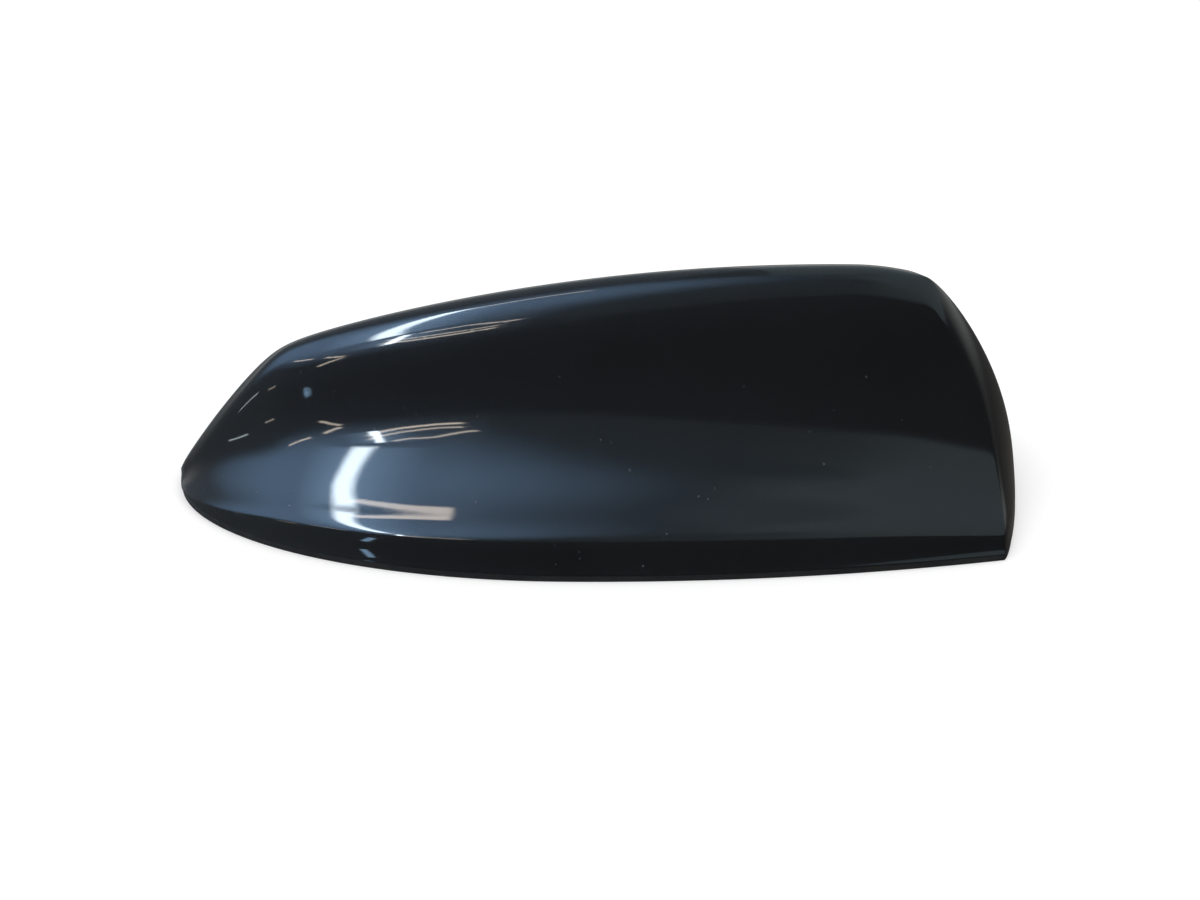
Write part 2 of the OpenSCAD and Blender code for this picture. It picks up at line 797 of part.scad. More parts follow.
module socket_sleeves() {
  color([0.8, 0.7, 0.4])
    at(socket_places)
      difference() {
        drill(sleeve_d, sleeve_low, board_z);
        drill(sleeve_d - 2 * sleeve_t, sleeve_low - 1, board_z + 1);
      }
}

module socket_insulators() {
  color([0.92, 0.92, 0.9])
    at(socket_places)
      difference() {
        drill(sleeve_d - 2 * sleeve_t - fit / 2, sleeve_low + 5, board_z);
        drill(contact_d + fit / 2, sleeve_low, board_z + 1);
      }
}

module socket_contacts() {
  color([0.85, 0.75, 0.4])
    at(socket_places)
      drill(contact_d, sleeve_low + 0.3, board_top + 0.8);
}

cover();
cover_seal();
roof_gasket();
base_plate();
roof_stud();
cover_screws();
vent_membrane();
main_board();
board_screws();
patch_pad();
patch_ceramic();
patch_silver();
patch_pin();
shield_can();
element_carrier();
broadcast_coil();
top_plate();
foam_pad();
front_element();
rear_element();
contact_clips();
coax_socket(0);  // coax_socket_1
coax_socket(1);  // coax_socket_2
coax_socket(2);  // coax_socket_3
socket_sleeves();
socket_insulators();
socket_contacts();
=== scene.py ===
# %% [markdown]
# # A shark fin roof aerial
# The real part is a thin moulded cover, lacquered gloss black, that clips and screws over a cast base. A
# rubber gasket seals it to the roof. Inside are a board, a ceramic patch, stamped elements, a coil and
# three coax sockets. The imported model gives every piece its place. This script gives each one its finish,
# and remakes in finer mesh the pieces whose curves show: the cover, the gasket, the stud's thread and the
# coil.

# %% Load the frame
import json
import math

import bmesh
import bpy
import numpy as np
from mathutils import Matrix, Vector

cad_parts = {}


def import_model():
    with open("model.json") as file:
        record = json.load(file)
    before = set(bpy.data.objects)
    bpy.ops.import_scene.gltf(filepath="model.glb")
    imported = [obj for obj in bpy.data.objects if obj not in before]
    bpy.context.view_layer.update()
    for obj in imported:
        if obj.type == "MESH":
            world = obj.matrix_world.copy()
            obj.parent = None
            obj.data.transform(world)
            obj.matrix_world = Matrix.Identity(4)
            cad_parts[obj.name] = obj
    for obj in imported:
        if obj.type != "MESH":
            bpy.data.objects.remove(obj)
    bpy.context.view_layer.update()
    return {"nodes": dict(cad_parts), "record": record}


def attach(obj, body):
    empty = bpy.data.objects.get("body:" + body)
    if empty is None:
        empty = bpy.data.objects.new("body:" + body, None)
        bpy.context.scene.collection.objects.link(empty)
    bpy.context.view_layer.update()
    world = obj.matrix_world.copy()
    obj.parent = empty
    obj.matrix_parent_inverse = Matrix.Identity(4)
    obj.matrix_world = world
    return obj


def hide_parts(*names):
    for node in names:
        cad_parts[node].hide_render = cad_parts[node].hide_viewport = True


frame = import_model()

nodes = frame["nodes"]

# %% [markdown]
# ## The lines of the fin
# The fin is one smooth form: a section that runs from a round ridge down a steep flank, out over a hollow
# flare and down an upright rim. It could be sculpted, or cut from a subdivided box, but then its gloss
# would show every uneven face. Here the same few curves that the solid was drawn from are evaluated again,
# only much more finely, so the two agree everywhere and the lacquer reflects in clean lines. All lengths
# are millimetres until a mesh is made.

# %% The driving sizes
MM = 0.001
FIN_LEN, FIN_W, FIN_H = 165.0, 65.6, 50.0
WIDEST_X, TAIL_W = 0.4606 * FIN_LEN, 0.7225 * FIN_W
CREST_X, CREST_FALL, TAIL_DROP = 0.7925 * FIN_LEN, 0.514, 0.26
NOSE_SHARE, NOSE_POWER, NOSE_BLEND = 3.072, 0.762, 3.7
TIP_H, TIP_RUN, TIP_FLAT = 1.0, 3.0, 0.15
TAIL_LEAN, TAIL_LEAN_POWER, TAIL_TOP_POWER = 20.5, 2.28, 0.75
TAIL_CORNER, TAIL_CORNER_POWER, LEAST_CORNER, TAIL_FLAT = 4.6, 1.5, 1.5, 0.04
STUD_FROM_NOSE = 0.5212 * FIN_LEN
RIM_FALL = 0.9
WALL, SEAT_Z, FIT = 2.2, 1.5, 0.2
BASE_T, STANDOFF_H, BOARD_T = 3.5, 3.0, 1.6
BASE_TOP = SEAT_Z + BASE_T
BOARD_TOP = BASE_TOP + STANDOFF_H + BOARD_T


# %% Crest and half width along the fin
def smooth_min(a, b, r):
    return (a + b - np.hypot(a - b, r)) / 2


def crest(x):
    """Height of the ridge at a distance x behind the nose."""
    nose = FIN_H * NOSE_SHARE * (np.maximum(x, 0) / FIN_LEN) ** NOSE_POWER
    front, rear = np.maximum(CREST_X - x, 0) / CREST_X, np.maximum(x - CREST_X, 0) / (FIN_LEN - CREST_X)
    arc = FIN_H * (1 - CREST_FALL * front ** 2 - TAIL_DROP * rear ** 2)
    return smooth_min(nose, arc, NOSE_BLEND) + (SEAT_Z + TIP_H) * np.exp(-x / TIP_RUN)


def half_w(x):
    """Half the width of the foot at a distance x behind the nose."""
    front = FIN_W / 2 * np.sqrt(np.clip(1 - (1 - x / WIDEST_X) ** 2, 0, 1))
    rear = FIN_W / 2 - (FIN_W - TAIL_W) / 2 * ((x - WIDEST_X) / (FIN_LEN - WIDEST_X)) ** 2
    return np.where(x < WIDEST_X, front, rear)


def tail_end(share):
    """Where the tail ends at a share of the height."""
    return FIN_LEN - TAIL_LEAN * (1 - (1 - np.clip(share, 0, 1) ** TAIL_LEAN_POWER) ** TAIL_TOP_POWER)


def sunk(share, x):
    """Shares of the height, lowered towards the tail where the rim sinks."""
    return share * (1 - RIM_FALL * (x / FIN_LEN) ** 3 * (1 - share) ** 4)


def slope_gain(curve, x, step=0.1):
    """How much longer a step along the curve is than the step in x."""
    return np.hypot(1, (curve(x + step) - curve(x)) / step)


def along(share):
    """Distance from the stud's axis to a place at a share of the length."""
    return share * FIN_LEN - STUD_FROM_NOSE


print("crest at 40, 80 and 120 mm:", [round(float(crest(x)), 2) for x in (40.0, 80.0, 120.0)])

# %% [markdown]
# ## The section
# The section is a cubic spline through eleven guide points, given as shares of the half width and of the
# height. A spline keeps the curvature even, which matters more on gloss black than on any other finish.

# %% Guide points and the spline through them
RIDGE, WAIST, FLARE = 9.4 / FIN_W, 21.6 / FIN_W, 1 - 2 * 4.4 / FIN_W
WAIST_SHARE, RIM_SHARE = 0.572, 0.198
HOLLOW = (0.022, 0.081)
RIM_TURN = ((0.49, 0.78), (0.6, 0.56), (0.79, 0.23), (1, 0))
GUIDES = np.array([
    (0, 1), (RIDGE / 2, 1), (RIDGE, 0.935), ((RIDGE + WAIST) / 2 - 0.009, 0.806), (WAIST, WAIST_SHARE),
    ((WAIST + FLARE) / 2 - HOLLOW[0], (WAIST_SHARE + RIM_SHARE) / 2 - HOLLOW[1]), (FLARE, RIM_SHARE),
    *[(FLARE + (1 - FLARE) * out, RIM_SHARE * level) for out, level in RIM_TURN]])


def spline(guides, t):
    """Points of a clamped cubic B-spline at the shares t of its run."""
    count = len(guides)
    knots = np.concatenate([np.zeros(3), np.linspace(0, 1, count - 2), np.ones(3)])
    t = np.clip(t, 0, 1 - 1e-9)
    weights = [((knots[i] <= t) & (t < knots[i + 1])).astype(float) for i in range(count + 3)]
    for k in (1, 2, 3):
        for i in range(count + 3 - k):
            rise, fall = knots[i + k] - knots[i], knots[i + k + 1] - knots[i + 1]
            left = (t - knots[i]) / rise * weights[i] if rise > 0 else 0
            right = (knots[i + k + 1] - t) / fall * weights[i + 1] if fall > 0 else 0
            weights[i] = left + right
    return sum(weights[i][:, None] * guides[i] for i in range(count))


# %% Rows of the section, close together where they are needed
def section_rows(count, foot_shares=()):
    """Shares of half width and height, and their slopes, for rows from the ridge to the foot."""
    table_t = np.linspace(0, 1, 4001)
    table = spline(GUIDES, table_t)
    t = np.linspace(0, 1, count)
    if len(foot_shares):
        low = np.interp(-np.array(foot_shares), -table[:, 1], table_t)
        t = np.concatenate([t[t < low.min()], low])
    slopes = np.gradient(table, table_t, axis=0)
    parts = [np.interp(t, table_t, column) for column in (*table.T, *slopes.T)]
    parts[1][-1] = 0
    return np.array(parts)


def columns(run, corner):
    """Shares of the way to the tail's corner, then angles round that corner."""
    forward = 1 - np.cos(np.linspace(0, math.pi / 2, run + 1))
    angle = np.linspace(math.pi / 2, 0, corner + 1)[1:]
    share = np.concatenate([forward, np.ones(corner)])
    turn = np.concatenate([np.full(run + 1, math.pi / 2), angle])
    return share, turn


rows = section_rows(12)
print("section rows:", rows.shape, "foot at", rows[:2, -1])


# %% [markdown]
# ## Skins
# A moulded cover has an outer and an inner skin a wall apart. Each is a grid of points: columns from nose
# to tail and rows from ridge to foot. The last columns turn round the tail's corner by angle, so the corner
# stays round however tight it is.

# %% Points of one skin
def skin(grid, section, inset, x0, nose_run):
    """Points of the fin's left side, moved inwards by inset, as an array of columns by rows by 3."""
    share, turn = (part[:, None] for part in grid)
    b, c, db, dc = (part[None, :] for part in section)
    corner = max(TAIL_CORNER - inset, LEAST_CORNER)
    power = 2 / TAIL_CORNER_POWER
    corner_start = tail_end(c) - inset - TAIL_FLAT - corner
    x = x0 + share * (corner_start - x0) + corner * np.cos(turn) ** power * (turn < math.pi / 2)
    w, h = half_w(x), crest(x) - SEAT_Z
    across, up = -h * dc, w * db
    size = np.maximum(np.hypot(across, up), 1e-9)
    nose_close = np.sqrt(1 - (1 - np.clip((x - x0) / nose_run, 0, 1)) ** 2)
    y = w * b - inset * slope_gain(half_w, x) * across / size
    z = SEAT_Z + h * sunk(c, x) - inset * slope_gain(crest, x) * up / size
    y[:, 0] = 0
    z = np.maximum(z, SEAT_Z)
    z[:, -1] = SEAT_Z
    points = np.stack([x - STUD_FROM_NOSE, y, z], -1)
    for column in points:
        past_middle = np.nonzero(column[:-1, 1] < 0)[0]
        if len(past_middle):
            k = past_middle[-1]
            to_middle = column[k, 1] / (column[k, 1] - column[k + 1, 1])
            column[:k + 1] = column[k] + to_middle * (column[k + 1] - column[k])
    points[..., 1] *= np.sin(turn) ** power * nose_close
    return points


def round_foot(points, radius):
    """Rounds the edge where the skin meets its foot."""
    step = np.gradient(points[:, :, :2], axis=0)
    step[0, :, 0], step[-1, :, 0] = 0, 0
    normal = np.stack([-step[..., 1], step[..., 0]], -1)
    normal[-1], normal[0] = (1, 0), (-1, 0)
    normal /= np.maximum(np.linalg.norm(normal, axis=-1, keepdims=True), 1e-9)
    rise = np.clip(radius - (points[:, :, 2] - SEAT_Z), 0, radius)
    inwards = radius - np.sqrt(radius ** 2 - rise ** 2)
    points[:, :, :2] -= normal * inwards[..., None]
    points[..., 1] = np.maximum(points[..., 1], 0)
    return points


def both_sides(points):
    """One array from the right rim over the ridge to the left rim."""
    return np.concatenate([points[:, :0:-1] * (1, -1, 1), points], axis=1)


# %% Mesh helpers
def quads(columns_n, rows_n, start=0, flip=False):
    """Faces between neighbouring points of a grid."""
    i, j = np.meshgrid(np.arange(columns_n - 1), np.arange(rows_n - 1), indexing="ij")
    a = (i * rows_n + j).ravel() + start
    faces = np.stack([a, a + 1, a + rows_n + 1, a + rows_n], -1)
    return faces[:, ::-1] if flip else faces


def new_piece(name, points_mm, faces, weld=1e-7):
    """A mesh object from points in millimetres, with doubled points welded and faces turned outwards."""
    mesh = bpy.data.meshes.new(name)
    mesh.from_pydata((np.asarray(points_mm) * MM).tolist(), [], [list(map(int, f)) for f in faces])
    work = bmesh.new()
    work.from_mesh(mesh)
    bmesh.ops.remove_doubles(work, verts=work.verts, dist=weld)
    bmesh.ops.dissolve_degenerate(work, edges=work.edges, dist=weld)
    bmesh.ops.recalc_face_normals(work, faces=work.faces)
    open_edges = sum(not e.is_manifold for e in work.edges)
    work.to_mesh(mesh)
    work.free()
    piece = bpy.data.objects.new(name, mesh)
    bpy.context.scene.collection.objects.link(piece)
    print(name, "faces:", len(mesh.polygons), "open edges:", open_edges)
    return piece


def smooth(piece, angle=40):
    piece.data.polygons.foreach_set("use_smooth", [True] * len(piece.data.polygons))
    piece.data.set_sharp_from_angle(angle=math.radians(angle))


def apply_modifiers(piece):
    """Bakes the piece's modifiers into its own mesh."""
    evaluated = piece.evaluated_get(bpy.context.evaluated_depsgraph_get())
    mesh = bpy.data.meshes.new_from_object(evaluated)
    piece.modifiers.clear()
    piece.data = mesh


def combine(piece, tool, operation):
    modifier = piece.modifiers.new(operation.lower(), "BOOLEAN")
    modifier.operation, modifier.object, modifier.solver = operation, tool, "MANIFOLD"
    apply_modifiers(piece)
    bpy.data.objects.remove(tool)


# %% [markdown]
# ## The cover
# The shell is closed: outer skin, inner skin and the narrow foot that joins them. The foot's outer edge has
# a small radius, as a moulded and lacquered edge always has.

# %% The shell
FOOT_RADIUS = 0.3
FOOT_SHARES = np.geomspace(0.15, 0.0008, 16)
CAVITY_NOSE = 5.5
OUTER_NOSE_RUN, CAVITY_NOSE_RUN, TRIM_NOSE_RUN = 0.8, 3.0, 1.5
RUN_COLUMNS, CORNER_COLUMNS, OUTER_ROWS, INNER_ROWS = 190, 34, 110, 34


def shell():
    grid = columns(RUN_COLUMNS, CORNER_COLUMNS)
    outer = skin(grid, section_rows(OUTER_ROWS, FOOT_SHARES), 0, TIP_FLAT, OUTER_NOSE_RUN)
    outer = both_sides(round_foot(outer, FOOT_RADIUS))
    inner = both_sides(skin(grid, section_rows(INNER_ROWS), WALL, CAVITY_NOSE, CAVITY_NOSE_RUN))
    n, rows_out = outer.shape[:2]
    rows_in = inner.shape[1]
    start = n * rows_out
    points = np.concatenate([outer.reshape(-1, 3), inner.reshape(-1, 3)])
    faces = np.concatenate([quads(n, rows_out), quads(n, rows_in, start, flip=True)])
    i = np.arange(n - 1)
    feet = []
    for last_out, last_in, order in ((0, 0, 1), (rows_out - 1, rows_in - 1, -1)):
        a, b = i * rows_out + last_out, start + i * rows_in + last_in
        feet.append(np.stack([a, a + rows_out, b + rows_in, b], -1)[:, ::order])
    return new_piece("cover_shell", points, np.concatenate([faces, *feet]))


def closed_skin(name, inset, x0):
    """A closed body under the skin, used to trim what is moulded inside it."""
    points = both_sides(skin(columns(60, 14), section_rows(40), inset, x0, TRIM_NOSE_RUN))
    n, m = points.shape[:2]
    under = [[i * m, (i + 1) * m, (i + 1) * m + m - 1, i * m + m - 1] for i in range(n - 1)]
    return new_piece(name, points.reshape(-1, 3), np.concatenate([quads(n, m), np.array(under)]))


cover = shell()

# %% [markdown]
# ## Bosses and ribs
# Four bosses take the screws that come up through the base, and small ribs under the crest press on the
# foam. They are moulded in one with the cover, so they are trimmed by the middle of its wall and then
# joined to it.

# %% Round bodies from a profile
TAU = 2 * math.pi


def lathe(name, profile, place, sides=40):
    """A turned body from (radius, height) pairs, closed at both ends on its axis."""
    angles = np.linspace(0, TAU, sides, endpoint=False)
    x, y = place
    loops = [[(x + r * math.cos(a), y + r * math.sin(a), z) for a in angles] for r, z in profile]
    return loft(name, loops)


def loft(name, loops, ring=False):
    """A closed body through loops of equal count: a ring from last loop to first, or else with capped ends."""
    loops = np.array(loops, float)
    count, sides = loops.shape[:2]
    faces = []
    for k in range(count if ring else count - 1):
        a, b = k * sides, (k + 1) % count * sides
        i = np.arange(sides)
        j = (i + 1) % sides
        faces.append(np.stack([a + i, a + j, b + j, b + i], -1))
    faces = np.concatenate(faces).tolist()
    if not ring:
        faces += [list(range(sides))[::-1], list(range((count - 1) * sides, count * sides))]
    return new_piece(name, loops.reshape(-1, 3), faces)


# %% Bosses and ribs of the cover
SEAL_GAP, SEAL_SIDE = 1.5, 1.4
SEAL_INSET = WALL + SEAL_GAP
BASE_INSET = SEAL_INSET + SEAL_SIDE + FIT
BOSS_D, BOSS_TAPER, AXIS_R = 6.4, 1.4, 0.01
SCREW_LEN, SCREW_D, THREAD_BITE, BORE_SPARE = 6.0, 2.9, 0.3, 0.5
SCREW_HEAD_D, SCREW_HEAD_H, HEAD_SUNK, SCREW_MARGIN = 5.2, 1.6, 0.2, 2.5
SCREW_SEAT_T = BASE_T - SCREW_HEAD_H - HEAD_SUNK
FRONT_SCREW_IN, REAR_SCREW_IN, SIDE_SCREW_X = 17, 12, along(0.485)
SIDE_BOSS_Y = FIN_W / 2 - BASE_INSET - SCREW_MARGIN - SCREW_HEAD_D / 2
BOSS_PLACES = [(FRONT_SCREW_IN - STUD_FROM_NOSE, 0), (FIN_LEN - REAR_SCREW_IN - STUD_FROM_NOSE, 0),
               (SIDE_SCREW_X, SIDE_BOSS_Y), (SIDE_SCREW_X, -SIDE_BOSS_Y)]
COIL_X, TOP_PLATE_DROP, TOP_PLATE_GAP = along(0.7212), 8.0, 11.0
FOAM_T, SHEET_T = 3.0, 0.5
TOP_PLATE_Z = float(crest(0.5515 * FIN_LEN)) - WALL - FOAM_T - SHEET_T
PLATE_SHARE = (TOP_PLATE_Z + SHEET_T - SEAT_Z) / (crest(FIN_LEN - TAIL_LEAN) - SEAT_Z)
TOP_PLATE_END = tail_end(PLATE_SHARE) - STUD_FROM_NOSE - WALL - TOP_PLATE_GAP
RIB_W, RIB_HALF_Y, RIB_DEPTH, RIB_BEHIND_PLATE = 1.6, 4.7, 1, 4
RIB_PLACES = [along(0.242), along(0.339), along(0.436), float(TOP_PLATE_END) + RIB_BEHIND_PLATE]


def boss(k, place):
    """A tapered post with a chamfered bore that the screw cuts its thread in."""
    bore, bore_top = (SCREW_D - THREAD_BITE) / 2, BASE_TOP + SCREW_LEN - SCREW_SEAT_T + BORE_SPARE
    foot, top = BOSS_D / 2, (BOSS_D + BOSS_TAPER) / 2
    profile = [(AXIS_R, bore_top), (bore, bore_top), (bore, BASE_TOP + 0.4), (bore + 0.3, BASE_TOP),
               (foot - 0.2, BASE_TOP), (foot, BASE_TOP + 0.2), (top, FIN_H), (AXIS_R, FIN_H)]
    return lathe(f"boss_{k}", profile, place)


def rib(k, x):
    """A rib across the crest, with its free edge drawn in."""
    z = float(crest(x + STUD_FROM_NOSE)) - WALL
    edge, root, buried = z - RIB_DEPTH, z, z + WALL / 2
    loops = []
    for half_x, half_y, level in ((RIB_W / 4, RIB_HALF_Y / 2, edge), (RIB_W / 2, RIB_HALF_Y, root),
                                  (RIB_W / 2, RIB_HALF_Y, buried)):
        loops.append([(x - half_x, -half_y, level), (x + half_x, -half_y, level),
                      (x + half_x, half_y, level), (x - half_x, half_y, level)])
    return loft(f"rib_{k}", loops)


moulded = [boss(k, place) for k, place in enumerate(BOSS_PLACES)]
moulded += [rib(k, x) for k, x in enumerate(RIB_PLACES)]
for k, form in enumerate(moulded):
    combine(form, closed_skin(f"trim_{k}", WALL / 2, CAVITY_NOSE / 2), "INTERSECT")
    combine(cover, form, "UNION")
smooth(cover, 35)
cover.name = "cover_lacquered"
print("cover triangles:", sum(len(p.vertices) - 2 for p in cover.data.polygons))

# %% [markdown]
# ## The roof gasket
# A moulded rubber frame lies between the cover's foot and the roof. Its outer edge is the thin matt band
# under the gloss, and its underside has two shallow grooves that leave sealing lips. A solid extruded from
# the plan would have knife edges, so a profile with rounded corners is carried round the plan instead.

# %% A frame carried round the plan
GASKET_INSET, GASKET_LAP, BASE_NOSE = 0.35, 0.8, 9.4
# Each edge is given by how far in it lies at the sides, and how far behind the nose.
GASKET_OUT, GASKET_IN = (GASKET_INSET, GASKET_INSET), (BASE_INSET + GASKET_LAP, BASE_NOSE + GASKET_LAP)


def plan_loop(inset, x0, z):
    """The plan of the fin, moved inwards, as one closed loop."""
    share, turn = columns(90, 16)
    corner, power = max(TAIL_CORNER - inset, LEAST_CORNER), 2 / TAIL_CORNER_POWER
    start = FIN_LEN - inset - corner
    x = x0 + share * (start - x0) + corner * np.cos(turn) ** power * (turn < math.pi / 2)
    front = (FIN_W / 2 - inset) * np.sqrt(np.clip(1 - ((WIDEST_X - x) / (WIDEST_X - x0)) ** 2, 0, 1))
    y = np.where(x < WIDEST_X, front, half_w(x) - inset) * np.sin(turn) ** power
    left = np.stack([x - STUD_FROM_NOSE, y, np.full_like(x, z)], -1)
    return np.concatenate([left, left[-2:0:-1] * (1, -1, 1)])


def rounded(corners, radius, steps=4):
    """A closed profile with every corner rounded."""
    corners = np.array(corners, float)
    path = []
    for before, here, after in zip(np.roll(corners, 1, 0), corners, np.roll(corners, -1, 0)):
        a, b = before - here, after - here
        reach = min(radius, np.linalg.norm(a) / 2.1, np.linalg.norm(b) / 2.1)
        p, q = here + a / np.linalg.norm(a) * reach, here + b / np.linalg.norm(b) * reach
        for s in np.linspace(0, 1, steps + 1):
            path.append((1 - s) ** 2 * p + 2 * s * (1 - s) * here + s * s * q)
    return path


# %% The gasket
def gasket():
    lip, groove, side_rib, corner_radius = 0.4, 0.7, 1.4, 0.25
    out, inner = GASKET_OUT[0], GASKET_IN[0]
    corners = [(out, 0), (out, SEAT_Z), (inner, SEAT_Z), (inner, 0)]
    for left in (inner - 1.1, out + side_rib + groove):
        corners += [(left, 0), (left, lip), (left - groove, lip), (left - groove, 0)]
    loops = []
    for inset, z in rounded(corners, corner_radius):
        share = (inset - out) / (inner - out)
        loops.append(plan_loop(inset, GASKET_OUT[1] + share * (GASKET_IN[1] - GASKET_OUT[1]), z))
    return loft("gasket_moulded", loops, ring=True)


gasket_piece = gasket()
smooth(gasket_piece, 60)

# %% [markdown]
# ## The stud
# The stud has a hexagon head sunk in the base, a plain shoulder and a rolled thread. A thread can be
# modelled with a screw modifier, but a loft is simpler here: each loop is a circle whose radius depends on
# how far round the helix it is, so shank, shoulder and head are one closed mesh.

# %% Thread, shoulder and head in one loft
STUD_D, STUD_LEN, SHOULDER_D, STUD_FLATS, HEAD_H = 8.0, 22.0, 8.8, 13.0, 4.2
HEAD_Z = BASE_TOP + STANDOFF_H - 0.3 - HEAD_H


def stud():
    pitch, depth, sides, plain = 1.25, 0.65, 72, 1.2
    angles = np.linspace(0, TAU, sides, endpoint=False)

    def loop(radius, z):
        return np.stack([radius * np.cos(angles), radius * np.sin(angles), np.full(sides, z)], -1)

    loops = [loop(np.full(sides, STUD_D / 2 - 1.0), -STUD_LEN)]
    for z in np.arange(-STUD_LEN + 0.02, -plain, pitch / 10):
        turn = np.abs((z / pitch - angles / TAU) % 1 * 2 - 1)
        cut = np.clip(1.25 * turn - 0.12, 0, 1)
        fade = min(1, (-plain - z) / (2 * pitch))
        chamfer = max(0, 0.9 - (z + STUD_LEN))
        radius = STUD_D / 2 - depth * cut * fade
        loops.append(loop(np.minimum(radius, STUD_D / 2 - chamfer), z))
    shoulder, hexagon = SHOULDER_D / 2, STUD_FLATS / 2 / np.cos((angles + TAU / 12) % (TAU / 6) - TAU / 12)
    top, dimple = HEAD_Z + HEAD_H, 2.0
    for radius, z in ((STUD_D / 2, -plain), (STUD_D / 2, SEAT_Z), (shoulder - 0.2, SEAT_Z),
                      (shoulder, SEAT_Z + 0.2), (shoulder, HEAD_Z), (hexagon - 0.3, HEAD_Z),
                      (hexagon, HEAD_Z + 0.3), (hexagon, top - 0.5), (hexagon - 0.6, top),
                      (dimple + 0.2, top), (dimple, top - 0.2), (dimple, top - 1)):
        loops.append(loop(np.broadcast_to(radius, sides), z))
    return loft("stud_threaded", loops)


stud_piece = stud()
smooth(stud_piece, 30)

# %% [markdown]
# ## The coil
# Enamelled wire is wound on a plastic former. The solid's wire has six sides; this one has fourteen, and
# follows the same helix.

# %% Wire swept along its helix
WIRE_D, FORMER_D, COIL_PITCH = 1.0, 7.8, 3.0
WIRE_GAP, COIL_LIFT, SOLID_STEPS = 0.1, 1.2, 14


def coil(sides=14, steps=40):
    """The wire as a tube round the former, with as many turns as the solid has."""
    radius = FORMER_D / 2 + WIRE_D / 2 + WIRE_GAP
    low, high = BOARD_TOP + COIL_LIFT + WIRE_D, TOP_PLATE_Z - TOP_PLATE_DROP - WIRE_D
    turns = math.floor((high - low) / COIL_PITCH * SOLID_STEPS) / SOLID_STEPS
    loops = []
    for a in np.linspace(0, TAU * turns, int(steps * turns)):
        z = low + COIL_PITCH * a / TAU
        loops.append([((radius + WIRE_D / 2 * math.cos(b)) * math.cos(a) + COIL_X,
                       (radius + WIRE_D / 2 * math.cos(b)) * math.sin(a),
                       z + WIRE_D / 2 * math.sin(b)) for b in np.linspace(0, TAU, sides, endpoint=False)])
    return loft("coil_wire", loops)


coil_piece = coil()
smooth(coil_piece, 60)

# %% [markdown]
# ## Node materials
# Each finish is built from nodes that read the object's own coordinates in metres, so a grain of half a
# millimetre is half a millimetre on every piece. Small helpers keep the recipes short: noise, cells, a ramp
# from one value to another, and a bump whose height is given in millimetres.


